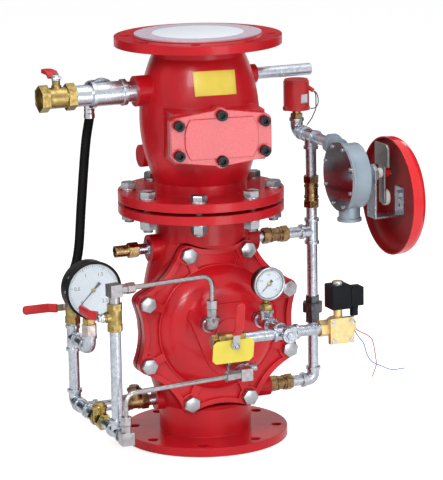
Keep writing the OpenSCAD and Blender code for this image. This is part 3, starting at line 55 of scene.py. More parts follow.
camera_aim = Vector((0.37628418, 0.90104082, -0.21572125))
camera_roll = -1.048
lens_mm = 202.87
sensor_mm = 36
camera_data = bpy.data.cameras.new("camera")
camera_data.lens = lens_mm
camera_data.sensor_width = sensor_mm
camera = bpy.data.objects.new("camera", camera_data)
camera.matrix_world = (Matrix.Translation(camera_place)
                       @ camera_aim.to_track_quat("-Z", "Y").to_matrix().to_4x4()
                       @ Matrix.Rotation(radians(camera_roll), 4, "Z"))
bpy.context.scene.collection.objects.link(camera)
bpy.context.scene.camera = camera
bpy.context.scene.view_settings.view_transform = "Standard"


# Leads: thin flexible wires in coloured insulation with bared copper ends.
# Two hang from the pressure switch's gland and two from the solenoid's plug.
class Paint:
    """One output of a material's nodes. Sums on it add Math nodes, and node() any other node."""

    def __init__(self, tree, socket=None):
        self.tree = tree
        self.socket = socket

    def node(self, kind, settings=None, values=None, out=0):
        made = self.tree.nodes.new("ShaderNode" + kind)
        for name, value in (settings or {}).items():
            if name == "stops":
                ramp = made.color_ramp
                while len(ramp.elements) < len(value):
                    ramp.elements.new(1)
                for element, (place, tone) in zip(ramp.elements, value):
                    element.position = place
                    element.color = (tone, tone, tone, 1)
            else:
                setattr(made, name, value)
        for name, value in (values or {}).items():
            if isinstance(value, Paint):
                self.tree.links.new(value.socket, made.inputs[name])
            else:
                made.inputs[name].default_value = value
        return Paint(self.tree, made.outputs[out])

    def maths(self, operation, *numbers):
        return self.node("Math", {"operation": operation}, dict(enumerate(numbers)))

    def __add__(self, other):
        return self.maths("ADD", self, other)

    def __radd__(self, other):
        return self.maths("ADD", other, self)

    def __sub__(self, other):
        return self.maths("SUBTRACT", self, other)

    def __rsub__(self, other):
        return self.maths("SUBTRACT", other, self)

    def __mul__(self, other):
        return self.maths("MULTIPLY", self, other)

    def __rmul__(self, other):
        return self.maths("MULTIPLY", other, self)

    def __gt__(self, other):
        return self.maths("GREATER_THAN", self, other)

    def __lt__(self, other):
        return self.maths("LESS_THAN", self, other)


def tint(red, green, blue):
    """A colour given by its display values from 0 to 255."""
    def linear(v):
        v = v / 255
        return v / 12.92 if v <= 0.04045 else ((v + 0.055) / 1.055) ** 2.4
    return (linear(red), linear(green), linear(blue), 1)


def new_material(name, **same):
    """A material, its shader with the values that are the same all over, and Object coordinates."""
    made = bpy.data.materials.new(name)
    made.use_nodes = True
    shader = made.node_tree.nodes["Principled BSDF"]
    for socket, value in same.items():
        shader.inputs[socket.replace("_", " ")].default_value = value
    return made, shader, Paint(made.node_tree).node("TexCoord", out="Object")


def noise(coords, scale, detail=2.0, rough=0.5, stretch=None):
    """Noise from 0 to 1, scale in lumps per metre; stretch squeezes the pattern along an axis."""
    if stretch:
        coords = coords.node("Mapping", None, {"Vector": coords, "Scale": stretch})
    return coords.node("TexNoise", None,
                       {"Vector": coords, "Scale": scale, "Detail": detail, "Roughness": rough})


def ramp(value, *stops):
    """The value passed through a ramp of (place, grey) stops."""
    return value.node("ValToRGB", {"stops": stops}, {"Fac": value})


def mix(mask, a, b):
    """Colour a where the mask is 0 and b where it is 1."""
    return mask.node("Mix", {"data_type": "RGBA"}, {0: mask, 6: a, 7: b}, out=2)


def feed(shader, **inputs):
    """Links what varies over a surface to the shader's sockets."""
    for socket, paint in inputs.items():
        paint.tree.links.new(paint.socket, shader.inputs[socket.replace("_", " ")])


def dents(height, depth, round_r=0.0):
    """A normal from a height pattern, depth in metres, on edges that are rounded off by round_r."""
    values = {"Height": height, "Distance": depth, "Strength": 1.0}
    if round_r:
        values["Normal"] = height.node("Bevel", {"samples": 6}, {"Radius": round_r})
    return height.node("Bump", None, values)


def insulation(name, colour):
    made, shader, coords = new_material(name, Roughness=0.38, IOR=1.48)
    grime = ramp(noise(coords, 260), (0.35, 0.0), (0.8, 0.5))
    feed(shader, Base_Color=mix(grime, colour, tint(60, 52, 50)),
         Normal=dents(noise(coords, 900), 0.00008))
    return made


bare_copper, shader, coords = new_material("bare_copper", Metallic=1.0)
strands = noise(coords, 3000)
feed(shader, Base_Color=mix(strands, tint(184, 150, 122), tint(206, 196, 186)),
     Roughness=0.3 + strands * 0.2)


def round_line(name, route, radius, roundness, steps, capped):
    """A round wire or hose as a curve that runs smoothly through the points of its route."""
    curve = bpy.data.curves.new(name, "CURVE")
    curve.dimensions = "3D"
    curve.bevel_depth = radius
    curve.bevel_resolution = roundness
    curve.use_fill_caps = capped
    curve.resolution_u = steps
    line = curve.splines.new("BEZIER")
    line.bezier_points.add(len(route) - 1)
    for point, place in zip(line.bezier_points, route):
        point.co = place
        point.handle_left_type = "AUTO"
        point.handle_right_type = "AUTO"
    made = bpy.data.objects.new(name, curve)
    bpy.context.scene.collection.objects.link(made)
    return made


bared_length = 0.005
bared_middle = 0.0027        # past the end of the insulation


def lead(name, node, route, diameter, colour):
    """A wire along its route, and the bare copper at its far end."""
    piece = round_line(name, route, diameter / 2, roundness=3, steps=6, capped=True)
    piece.data.materials.append(insulation(name + "_insulation", colour))
    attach(piece, "station")
    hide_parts(node)
    tail = (Vector(route[-1]) - Vector(route[-2])).normalized()
    end = bmesh.new()
    bmesh.ops.create_cone(end, cap_ends=True, segments=10, radius1=diameter * 0.3,
                          radius2=diameter * 0.24, depth=bared_length)
    bmesh.ops.transform(end, verts=end.verts,
                        matrix=Matrix.Translation(Vector(route[-1]) + tail * bared_middle)
                        @ tail.to_track_quat("Z", "Y").to_matrix().to_4x4())
    mesh = bpy.data.meshes.new(name + "_end")
    end.to_mesh(mesh)
    end.free()
    mesh.materials.append(bare_copper)
    tip = bpy.data.objects.new(name + "_end", mesh)
    bpy.context.scene.collection.objects.link(tip)
    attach(tip, "station")


switch_lead_d = 0.0024
lead("switch_lead_red", "switch_wire_red", [
    (0.2788, 0.0503, 0.6939), (0.2805, 0.049, 0.692), (0.2815, 0.047, 0.688),
    (0.2815, 0.045, 0.680), (0.2805, 0.043, 0.670), (0.279, 0.041, 0.658),
    (0.274, 0.040, 0.648), (0.2685, 0.039, 0.639), (0.2575, 0.038, 0.626),
], switch_lead_d, tint(96, 26, 34))
lead("switch_lead_green", "switch_wire_green", [
    (0.2805, 0.0532, 0.6939), (0.284, 0.051, 0.691), (0.287, 0.050, 0.685), (0.288, 0.048, 0.677),
    (0.287, 0.047, 0.668), (0.282, 0.047, 0.660), (0.271, 0.048, 0.6575),
], switch_lead_d, tint(20, 104, 72))
solenoid_lead_d = 0.002
lead("solenoid_lead_red", "solenoid_wire_red", [
    (0.2173, -0.2638, 0.2928), (0.2178, -0.257, 0.284), (0.2195, -0.257, 0.272),
    (0.2215, -0.261, 0.265), (0.2225, -0.267, 0.2605), (0.224, -0.274, 0.2586),
    (0.227, -0.282, 0.2568), (0.236, -0.288, 0.252), (0.2445, -0.291, 0.243),
    (0.247, -0.293, 0.2325), (0.249, -0.294, 0.2195), (0.251, -0.294, 0.206),
    (0.2525, -0.294, 0.193), (0.2495, -0.294, 0.1815), (0.243, -0.294, 0.1665),
], solenoid_lead_d, tint(190, 52, 62))
lead("solenoid_lead_blue", "solenoid_wire_blue", [
    (0.2173, -0.2669, 0.2928), (0.2177, -0.261, 0.284), (0.218, -0.260, 0.274),
    (0.218, -0.262, 0.264), (0.2183, -0.269, 0.257), (0.2175, -0.277, 0.254),
    (0.219, -0.285, 0.2485), (0.2255, -0.291, 0.2375), (0.228, -0.295, 0.225),
    (0.231, -0.297, 0.2135), (0.239, -0.298, 0.201), (0.249, -0.299, 0.1935),
    (0.263, -0.299, 0.187), (0.279, -0.299, 0.179), (0.290, -0.299, 0.1765),
    (0.304, -0.299, 0.177), (0.314, -0.299, 0.177),
], solenoid_lead_d, tint(72, 118, 196))


# Studio: a plain pale floor and white surround, soft lamps at a plain level, and dark cards that
# only shiny surfaces see, which give the round pipes their dark edges.
crease_angle = radians(35)


def as_object(bm, name, *materials):
    """The finished mesh as an object, shaded smooth except across its creases."""
    bmesh.ops.recalc_face_normals(bm, faces=bm.faces)
    mesh = bpy.data.meshes.new(name)
    bm.to_mesh(mesh)
    bm.free()
    mesh.shade_smooth()
    mesh.set_sharp_from_angle(angle=crease_angle)
    for material in materials:
        mesh.materials.append(material)
    made = bpy.data.objects.new(name, mesh)
    bpy.context.scene.collection.objects.link(made)
    return made


def seen_rays(tree, glossy=1.0):
    """1 where the camera or clear glass sees the surround, and a share of it in a reflection."""
    rays = [Paint(tree).node("LightPath", out=kind)
            for kind in ("Is Camera Ray", "Is Glossy Ray", "Is Transmission Ray")]
    return rays[0] + rays[1] * glossy + rays[2]


ambient = 0.44
world = bpy.data.worlds.new("surround")
world.use_nodes = True
surround = mix(seen_rays(world.node_tree), (ambient, ambient, ambient, 1), (1, 1, 1, 1))
world.node_tree.links.new(surround.socket, world.node_tree.nodes["Background"].inputs["Color"])
bpy.context.scene.world = world

floor_half = 7
floor_paint, shader, coords = new_material("floor_paint", Roughness=0.85, Specular_IOR_Level=0.1,
                                           Emission_Strength=1.0)
feed(shader, Base_Color=mix(noise(coords, 3), (0.80, 0.80, 0.80, 1), (0.82, 0.82, 0.82, 1)),
     Emission_Color=mix(seen_rays(floor_paint.node_tree, 0.3), (0, 0, 0, 1), (0.6, 0.6, 0.6, 1)))
floor = bmesh.new()
bmesh.ops.create_grid(floor, x_segments=1, y_segments=1, size=floor_half)
as_object(floor, "floor", floor_paint)

card_black, shader, coords = new_material("card_black", Roughness=1.0, Specular_IOR_Level=0.0)
feed(shader, Base_Color=mix(noise(coords, 4), (0.02, 0.02, 0.022, 1), (0.035, 0.035, 0.04, 1)))
for name, place, half_width, half_height in (("left", (-0.942, 0.989, 0.75), 0.65, 1.1),
                                             ("right", (1.365, 0.026, 0.75), 0.65, 1.1),
                                             ("rear", (1.15, 2.75, 1.75), 1.9, 0.75)):
    card = bmesh.new()
    bmesh.ops.create_grid(card, x_segments=1, y_segments=1, size=1)
    facing = -Vector((place[0], place[1], 0)).normalized()
    bmesh.ops.transform(card, verts=card.verts, matrix=Matrix.Translation(place)
                        @ facing.to_track_quat("Z", "Y").to_matrix().to_4x4()
                        @ Matrix.Diagonal((half_width, half_height, 1, 1)))
    card_piece = as_object(card, "dark_card_" + name, card_black)
    card_piece.visible_camera = False
    card_piece.visible_shadow = False
    card_piece.visible_diffuse = False

lamp_aim = Vector((0, 0, 0.42))
for name, place, size, power in (("key_lamp", (-2.0, -2.5, 2.3), 0.9, 56),
                                 ("fill_lamp", (2.4, -2.3, 1.5), 0.9, 20),
                                 ("low_lamp", (0.25, -2.0, 0.25), 0.8, 9),
                                 ("top_lamp", (0.2, -0.6, 3.0), 1.6, 26),
                                 ("side_lamp", (2.6, 1.5, 2.0), 1.4, 20)):
    lamp_data = bpy.data.lights.new(name, "AREA")
    lamp_data.shape = "SQUARE"
    lamp_data.size = size
    lamp_data.energy = power
    lamp = bpy.data.objects.new(name, lamp_data)
    facing = lamp_aim - Vector(place)
    lamp.matrix_world = (Matrix.Translation(place)
                         @ facing.to_track_quat("-Z", "Y").to_matrix().to_4x4())
    lamp.visible_glossy = name != "fill_lamp"
    bpy.context.scene.collection.objects.link(lamp)


# Deluge valve body and check valve body: iron sand castings in deep red enamel,
# with small ripples from the mould and edges softened by the paint.
def enamel(name, colour, shade, depth, round_r, rough, shine=0.24, coat=0.12):
    made, shader, coords = new_material(name, IOR=1.5, Specular_IOR_Level=shine,
                                        Coat_Weight=coat, Coat_Roughness=0.1)
    ripples = noise(coords, 70, 3)
    grain = noise(coords, 380, 4, 0.6)
    runs = ramp(noise(coords, 9, 3), (0.35, 0.0), (0.75, 1.0))
    feed(shader, Base_Color=mix(runs, colour, shade), Roughness=rough + grain * 0.14,
         Normal=dents(ripples * 0.7 + grain * 0.3, depth, round_r))
    return made


def dress(material, *names):
    """Gives its material to each solid of the frame that shows as it is."""
    for name in names:
        nodes[name].data.materials.clear()
        nodes[name].data.materials.append(material)


cast_enamel = enamel("cast_enamel", tint(196, 22, 34), tint(168, 15, 27),
                     depth=0.0007, round_r=0.003, rough=0.24)
dress(cast_enamel, "deluge_body", "check_body")


# Deluge cover and check cover: smoother castings in the same enamel, sprayed thicker and shinier.
# The check cover is painted a paler red as painted sheen. Both are bolted on over a sheet of
# rubber.
cover_enamel = enamel("cover_enamel", tint(208, 26, 38), tint(186, 19, 31),
                      depth=0.0004, round_r=0.0022, rough=0.18, shine=0.32, coat=0.15)
dress(cover_enamel, "deluge_cover")
# The check cover's paler red is painted sheen of the front light, not a different paint.
sheen_pale_enamel = enamel("sheen_pale_enamel", tint(208, 48, 60), tint(192, 38, 50),
                     depth=0.0002, round_r=0.0022, rough=0.2, shine=0.5, coat=0.35)
dress(sheen_pale_enamel, "check_cover")


# Fasteners: zinc plated steel bolts and studs, with chamfered hexagons and rolled threads.
# Eight bolts hold the deluge cover, and eight with washers and nuts clamp the middle flanges.
def plated(name, light, dark, rough, threads=False):
    made, shader, coords = new_material(name, Metallic=1.0)
    cloud = noise(coords, 160, 3)
    height = noise(coords, 1400, 2) * 0.3
    if threads:
        height = height + coords.node("TexWave", {"wave_type": "BANDS", "bands_direction": "Z"},
                                      {"Vector": coords, "Scale": 130.0}, out="Fac") * 3.0
    feed(shader, Base_Color=mix(cloud, light, dark), Roughness=rough + cloud * 0.16,
         Normal=dents(height, 0.0002, 0.0005))
    return made


zinc_plate = plated("zinc_plate", tint(188, 190, 194), tint(150, 152, 158), 0.22)
thread_plate = plated("thread_plate", tint(178, 178, 182), tint(136, 136, 142), 0.3, threads=True)


def prism(bm, place, turn, flats, height, chamfer=0.0012, sides=6, material=0):
    """A bar of six or more sides standing on a point, its top edges chamfered."""
    radius = flats / 2 / cos(pi / sides)
    matrix = Matrix.Translation(place) @ turn @ Matrix.Translation((0, 0, height / 2))
    made = bmesh.ops.create_cone(bm, cap_ends=True, segments=sides, radius1=radius,
                                 radius2=radius, depth=height,
                                 matrix=matrix @ Matrix.Rotation(pi / sides, 4, "Z"))
    top = [v for v in made["verts"] if (matrix.inverted() @ v.co).z > 0]
    edges = [e for e in {e for v in top for e in v.link_edges} if all(v in top for v in e.verts)]
    for face in {f for v in made["verts"] for f in v.link_faces}:
        face.material_index = material
    if chamfer:
        bmesh.ops.bevel(bm, geom=edges, offset=chamfer, segments=2, profile=0.5, affect="EDGES",
                        material=-1)


def drum(bm, place, turn, diameter, height, chamfer=0.0006, material=0, segments=40):
    """A round bar or disc standing on a point."""
    prism(bm, place, turn, diameter * cos(pi / segments), height, chamfer, segments, material)


def up(z):
    return Vector((0, 0, z))


upright = Matrix.Identity(4)
to_front = Matrix.Rotation(pi / 2, 4, "X")
bolt_count = 8
bolt_pitch = 360 / bolt_count
bolt_d = 0.020
bolt_flats = 0.030
head_h = 0.0125
head_chamfer = 0.0022
pad_t = 0.0015        # the round face under a cover bolt's head
shank_length = 0.034
cover_z = 0.250
cover_bolt_r = 0.168
cover_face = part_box("cover_bolts")[0][1] + head_h
bolts = bmesh.new()
for i in range(bolt_count):
    angle = radians(bolt_pitch * (i + 0.5))
    seat = Vector((cover_bolt_r * cos(angle), cover_face, cover_z + cover_bolt_r * sin(angle)))
    spin = to_front @ Matrix.Rotation(angle + 0.7 * i, 4, "Z")
    drum(bolts, seat, spin, bolt_flats * 0.97, pad_t, chamfer=0.0004)
    prism(bolts, seat - Vector((0, pad_t, 0)), spin, bolt_flats, head_h - pad_t, head_chamfer)
    drum(bolts, seat, to_front @ Matrix.Rotation(pi, 4, "X"), bolt_d, shank_length)
head_piece = as_object(bolts, "cover_bolt_set", zinc_plate)
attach(head_piece, "station")
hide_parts("cover_bolts")

nut_h = 0.016
washer_d = 0.034
washer_t = 0.003
thread_out = 0.006        # of thread below a nut
flange_low, flange_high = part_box("flange_bolts")
stud_low = flange_low[2]
head_z = flange_high[2] - head_h
stud_circle = 0.1475
hole_turn = -1.5
studs = bmesh.new()
for i in range(bolt_count):
    angle = radians(hole_turn + bolt_pitch * (i + 0.5))
    foot = Vector((stud_circle * sin(angle), -stud_circle * cos(angle), 0))
    spin = Matrix.Rotation(angle * 3 + i, 4, "Z")
    nut_z = stud_low + thread_out
    drum(studs, foot + up(stud_low), upright, bolt_d, head_z - stud_low, chamfer=0.0015,
         material=1)
    drum(studs, foot + up(head_z - washer_t), upright, washer_d, washer_t)
    prism(studs, foot + up(head_z), spin, bolt_flats, head_h, head_chamfer)
    drum(studs, foot + up(nut_z + nut_h), upright, washer_d, washer_t)
    prism(studs, foot + up(nut_z), spin, bolt_flats, nut_h, chamfer=0.0015)
stud_piece = as_object(studs, "flange_bolt_set", zinc_plate, thread_plate)
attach(stud_piece, "station")
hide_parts("flange_bolts")


# Check cover screws: six alloy steel cap screws with hexagon sockets, blackened in hot oxide,
# which hold the check cover on the body's block.
black_oxide, shader, coords = new_material("black_oxide", Metallic=0.7)
wear = noise(coords, 500, 3)
feed(shader, Base_Color=mix(ramp(wear, (0.5, 0.0), (0.8, 1.0)), tint(24, 24, 27), tint(78, 76, 78)),
     Roughness=0.32 + wear * 0.2, Normal=dents(noise(coords, 1500), 0.0001, 0.0008))
dress(black_oxide, "cover_screws")


# Inner works: a bronze seat ring and clapper, and a hinge pin, clamp plate and solenoid plunger
# turned from stainless bar. The disc that lies on the outlet is thin sheet with a dull face.
def bare_metal(name, light, dark, rough, brushed=None, round_r=0.0006, depth=0.00012):
    made, shader, coords = new_material(name, Metallic=1.0)
    cloud = noise(coords, 110, 4)
    scratches = (noise(coords, 60, 4, 0.7, stretch=brushed) if brushed
                 else noise(coords, 900, 3))
    feed(shader, Base_Color=mix(ramp(cloud, (0.3, 0.0), (0.75, 1.0)), light, dark),
         Roughness=rough + cloud * 0.1 + scratches * 0.12,
         Normal=dents(scratches, depth, round_r))
    return made


bronze = bare_metal("bronze", tint(206, 160, 98), tint(164, 118, 66), 0.3)
stainless = bare_metal("stainless", tint(204, 206, 210), tint(166, 168, 174), 0.16)
dress(bronze, "seat_ring", "clapper")
dress(stainless, "hinge_pin", "diaphragm_disc", "solenoid_plunger")
dull_disc = bare_metal("dull_disc", tint(206, 192, 204), tint(186, 172, 184), 0.5)
dress(dull_disc, "outlet_disc")


# Brass fittings: the bodies of the ball valves, of the swing check valve and of the riser's valve,
# the switch's connector and the paler solenoid body, forged, machined and a little dull.
brass = bare_metal("brass", tint(184, 162, 104), tint(126, 104, 60), 0.22,
                   round_r=0.0009, depth=0.0003)
brown_brass = bare_metal("brown_brass", tint(164, 134, 94), tint(104, 78, 50), 0.24,
                         round_r=0.0009, depth=0.0003)
pale_brass = bare_metal("pale_brass", tint(228, 208, 156), tint(208, 184, 128), 0.34,
                        round_r=0.0009, depth=0.0002)
dress(brass, "fill_valve_body", "centre_valve_body", "front_valve_body", "back_valve_body",
      "switch_connector")
dress(brown_brass, "branch_valve_body", "riser_valve_body")
dress(pale_brass, "solenoid_body")


# Trim pipe and malleable fittings: hot dip galvanised, bluish white with a fine spangle and grey
# specks. The riser's union is bare malleable iron, and the sensing tubes are drawn stainless steel.
pipe_zinc, shader, coords = new_material("pipe_zinc", Metallic=1.0)
spangle = coords.node("TexVoronoi", {"feature": "F1"}, {"Vector": coords, "Scale": 170.0},
                      out="Color")
specks = ramp(noise(coords, 420, 4, 0.65), (0.56, 0.0), (0.68, 1.0))
feed(shader, Base_Color=mix(specks * 0.55, mix(spangle, tint(206, 212, 220), tint(172, 179, 190)),
                            tint(104, 106, 112)),
     Roughness=0.25 + specks * 0.22 + spangle * 0.08,
     Normal=dents(noise(coords, 240, 4) + specks * 0.3, 0.00016, 0.0012))
dress(pipe_zinc, "fill_pipework", "test_pipe", "riser_pipework", "run_pipework", "gong_bracket")
dark_iron = bare_metal("dark_iron", tint(112, 114, 118), tint(62, 64, 68), 0.34,
                       depth=0.0005, round_r=0.001)
dress(dark_iron, "riser_union")
steel_tube = bare_metal("steel_tube", tint(182, 180, 182), tint(148, 146, 150), 0.18,
                        round_r=0.0012, depth=0.00005)
dress(steel_tube, "sensing_tubes")


# Ball valve levers: pressed steel strips, zinc plated and cranked away from the valve, their grips
# dipped in red vinyl. Each turns its ball by a stem, and a lock nut with a dark insert holds it.
vinyl, shader, coords = new_material("vinyl", IOR=1.46)
dip = noise(coords, 55, 3)
runs = ramp(dip, (0.35, 0.0), (0.75, 1.0))
feed(shader, Base_Color=mix(runs, tint(200, 28, 34), tint(172, 18, 26)),
     Roughness=0.34 + dip * 0.16, Normal=dents(dip, 0.0005, 0.0008))
lever_zinc = plated("lever_zinc", tint(206, 208, 212), tint(168, 170, 176), 0.22)


def pull(bm, outline, depth):
    """Pulls a solid along Z from a closed outline of flat points, and tells the older faces."""
    old = set(bm.faces)
    base = bm.faces.new([bm.verts.new((x, y, 0)) for x, y in outline])
    pulled = bmesh.ops.extrude_face_region(bm, geom=[base])["geom"]
    bmesh.ops.translate(bm, verts=[v for v in pulled if isinstance(v, bmesh.types.BMVert)],
                        vec=(0, 0, depth))
    bmesh.ops.recalc_face_normals(bm, faces=[f for f in bm.faces if f not in old])
    return old


def rounded(bm, old, chosen, radius, segments):
    """Rounds the chosen edges of what was added to the mesh after the old faces."""
    edges = {e for f in bm.faces if f not in old for e in f.edges}
    edges = [e for e in edges if chosen(*(v.co for v in e.verts)) and e.calc_face_angle(0) > 0.5]
    bmesh.ops.bevel(bm, geom=edges, offset=radius, segments=segments, profile=0.5,
                    affect="EDGES", material=-1, clamp_overlap=True)


def finish(bm, old, matrix, material):
    """Gives what was added after the old faces its material and its place."""
    added = [f for f in bm.faces if f not in old]
    for face in added:
        face.material_index = material
    bmesh.ops.transform(bm, verts=list({v for f in added for v in f.verts}), matrix=matrix)


def slab(bm, outline, depth, matrix, corner=0.0, ease=0.0006, material=0):
    """A plate or block of one outline, its upright corners rounded and then its rims eased."""
    old = pull(bm, outline, depth)
    if corner:
        rounded(bm, old, lambda a, b: abs(a.z - b.z) > depth / 2, corner, 5)
    rounded(bm, old, lambda a, b: abs(a.z - b.z) < 1e-6, ease, 2)
    finish(bm, old, matrix, material)


def strip(bm, path, width, thick, tip_round, ease, material):
    """A flat bar that runs along a path of (y, z) points, with soft bends and a rounded far end."""
    near = path[0][0]
    far = path[-1][0]
    bend_r = 0.003
    old = pull(bm, path + [(y, z + thick) for y, z in reversed(path)], width)
    rounded(bm, old, lambda a, b: abs(a.z - b.z) > width / 2 and near + 1e-5 < a.x < far - 1e-5,
            bend_r, 4)
    rounded(bm, old, lambda a, b: abs(a.z - b.z) < 1e-6 and min(a.x, b.x) > far - 1e-6,
            tip_round, 8)
    rounded(bm, old, lambda a, b: True, ease, 3)
    across = Matrix(((0, 0, 1, -width / 2), (1, 0, 0, 0), (0, 1, 0, 0), (0, 0, 0, 1)))
    finish(bm, old, across, material)


stem_r = 0.004
lever_t = 0.003
sleeve_wall = 0.0022
collar_d = 0.018        # of the seat under the strip
collar_h = 0.004
shim_d = 0.0135
shim_t = 0.0008
nut_flats = 0.012
lock_nut_h = 0.0042
insert_d = 0.010
ball_metal, nut_insert = 2, 3        # material numbers on a lever
# Of each valve: barrel radius, ball radius, reach, lift and width of its lever
small_valve = (0.0144, 0.0115, 0.089, 0.013, 0.014)
fill_valve = (0.021, 0.017, 0.059, 0.018, 0.019)
for name, place, turn, (barrel_r, ball_r, reach, lift, width) in (
        ("fill", (-0.305, 0, 0.734), upright, fill_valve),
        ("centre", (-0.052, -0.265, 0.271), Matrix.Rotation(radians(101), 4, "X"), small_valve),
        ("front", (-0.265, -0.190, 0.324), Matrix.Rotation(-pi / 2, 4, "Y"), small_valve),
        ("back", (-0.265, 0.058, 0.284),
         Matrix.Rotation(pi / 2, 4, "Y") @ Matrix.Rotation(-pi / 2, 4, "X"), small_valve)):
    top = barrel_r + lift
    rise = reach * 0.1
    low = top - sleeve_wall
    nut_z = top + lever_t + shim_t
    stem_z = ball_r * 0.7
    lever = bmesh.new()
    strip(lever, [(-0.008, top), (reach * 0.3, top), (reach * 0.42, top + rise),
                  (reach, top + rise)],
          width, lever_t, tip_round=0.004, ease=0.0005, material=0)
    strip(lever, [(reach * 0.25, low), (reach * 0.31, low), (reach * 0.43, low + rise),
                  (reach + 0.005, low + rise)],
          width + 2 * sleeve_wall, lever_t + 2 * sleeve_wall, tip_round=width * 0.5, ease=0.002,
          material=1)
    drum(lever, up(stem_z), upright, stem_r * 2, top + 0.009 - stem_z,
         material=ball_metal, segments=24)
    ball = bmesh.ops.create_uvsphere(lever, u_segments=32, v_segments=16, radius=ball_r)["verts"]
    for face in {f for v in ball for f in v.link_faces}:
        face.material_index = ball_metal
    drum(lever, up(top - collar_h), upright, collar_d, collar_h)
    drum(lever, up(top + lever_t), upright, shim_d, shim_t, chamfer=0.0003)
    prism(lever, up(nut_z), upright, nut_flats, lock_nut_h, chamfer=0.0008)
    drum(lever, up(nut_z + lock_nut_h), upright, insert_d, 0.0008, chamfer=0.0003,
         material=nut_insert)
    bmesh.ops.transform(lever, verts=lever.verts, matrix=Matrix.Translation(place) @ turn)
    lever_piece = as_object(lever, name + "_lever_and_grip", lever_zinc, vinyl, stainless,
                            black_oxide)
    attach(lever_piece, name + "_lever")
    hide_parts(name + "_valve_lever")


# Pressure gauges: black steel cases on brass stems, white dials under glass, with a wide arc of
# ticks and plain figures. The large one has a black bezel and stands on a zinc adapter; the small
# one has a polished snap ring.
def skin(name, light, dark, clouds, rough, spread, bumps, depth, round_r=0.0, **same):
    """A paint, plastic, rubber or paper, its clouds and bumps each a (scale, detail) of noise."""
    made, shader, coords = new_material(name, **same)
    cloud = noise(coords, *clouds)
    height = cloud if bumps == clouds else noise(coords, *bumps)
    feed(shader, Base_Color=mix(cloud, light, dark), Roughness=rough + cloud * spread,
         Normal=dents(height, depth, round_r))
    return made


case_black = skin("case_black", tint(8, 9, 11), tint(20, 22, 25), clouds=(700, 4), rough=0.38,
                  spread=0.2, bumps=(700, 4), depth=0.00015, round_r=0.0008,
                  IOR=1.42, Specular_IOR_Level=0.22)
dial_white, shader, coords = new_material("dial_white", Roughness=0.5)
feed(shader, Base_Color=mix(noise(coords, 40), tint(222, 230, 236), tint(208, 219, 228)))
dial_print, shader, coords = new_material("dial_print", Roughness=0.6)
feed(shader, Base_Color=mix(noise(coords, 500), tint(40, 43, 48), tint(64, 68, 76)))
ring_chrome = bare_metal("ring_chrome", tint(168, 170, 176), tint(142, 144, 150), 0.1)
adapter_zinc = bare_metal("adapter_zinc", tint(196, 184, 180), tint(164, 152, 150), 0.3)
gauge_glass, shader, coords = new_material("gauge_glass", Roughness=0.03, IOR=1.45)
smear = noise(coords, 50, 3)
feed(shader, Base_Color=mix(smear, (0.9, 0.95, 1, 1), (0.8, 0.88, 0.95, 1)),
     Alpha=0.05 + smear * 0.05)
shell, dial, dial_ink, glass, ring, foot_brass, foot_zinc = range(7)        # material numbers


def turned(bm, profile, matrix=upright, material=0, steps=64, closed=False):
    """A round piece turned about Z from a line of (radius, z) points."""
    old = set(bm.faces)
    line = [bm.verts.new((r, 0, z)) for r, z in profile]
    pairs = list(zip(line, line[1:])) + ([(line[-1], line[0])] if closed else [])
    bmesh.ops.spin(bm, geom=line + [bm.edges.new(pair) for pair in pairs], cent=(0, 0, 0),
                   axis=(0, 0, 1), angle=tau, steps=steps, use_merge=True, use_duplicate=False)
    new = {v for f in bm.faces if f not in old for v in f.verts}
    bmesh.ops.remove_doubles(bm, verts=list(new), dist=1e-6)
    finish(bm, old, matrix, material)


def figure(bm, text, size, place, material):
    """A flat plain figure as mesh, placed by its middle."""
    curve = bpy.data.curves.new("figure", "FONT")
    curve.body = text
    curve.size = size
    curve.align_x = "CENTER"
    curve.align_y = "CENTER"
    curve.resolution_u = 2
    drawn = bpy.data.objects.new("figure", curve)
    bpy.context.scene.collection.objects.link(drawn)
    bpy.context.view_layer.update()
    flat = bpy.data.meshes.new_from_object(drawn)
    flat.transform(Matrix.Translation(place))
    old = set(bm.faces)
    bm.from_mesh(flat)
    for face in bm.faces:
        if face not in old:
            face.material_index = material
    bpy.data.objects.remove(drawn)


def dial_angle(share):
    """The scale starts low on the left and runs clockwise through three quarters of a turn."""
    return radians(225 - 270 * share)


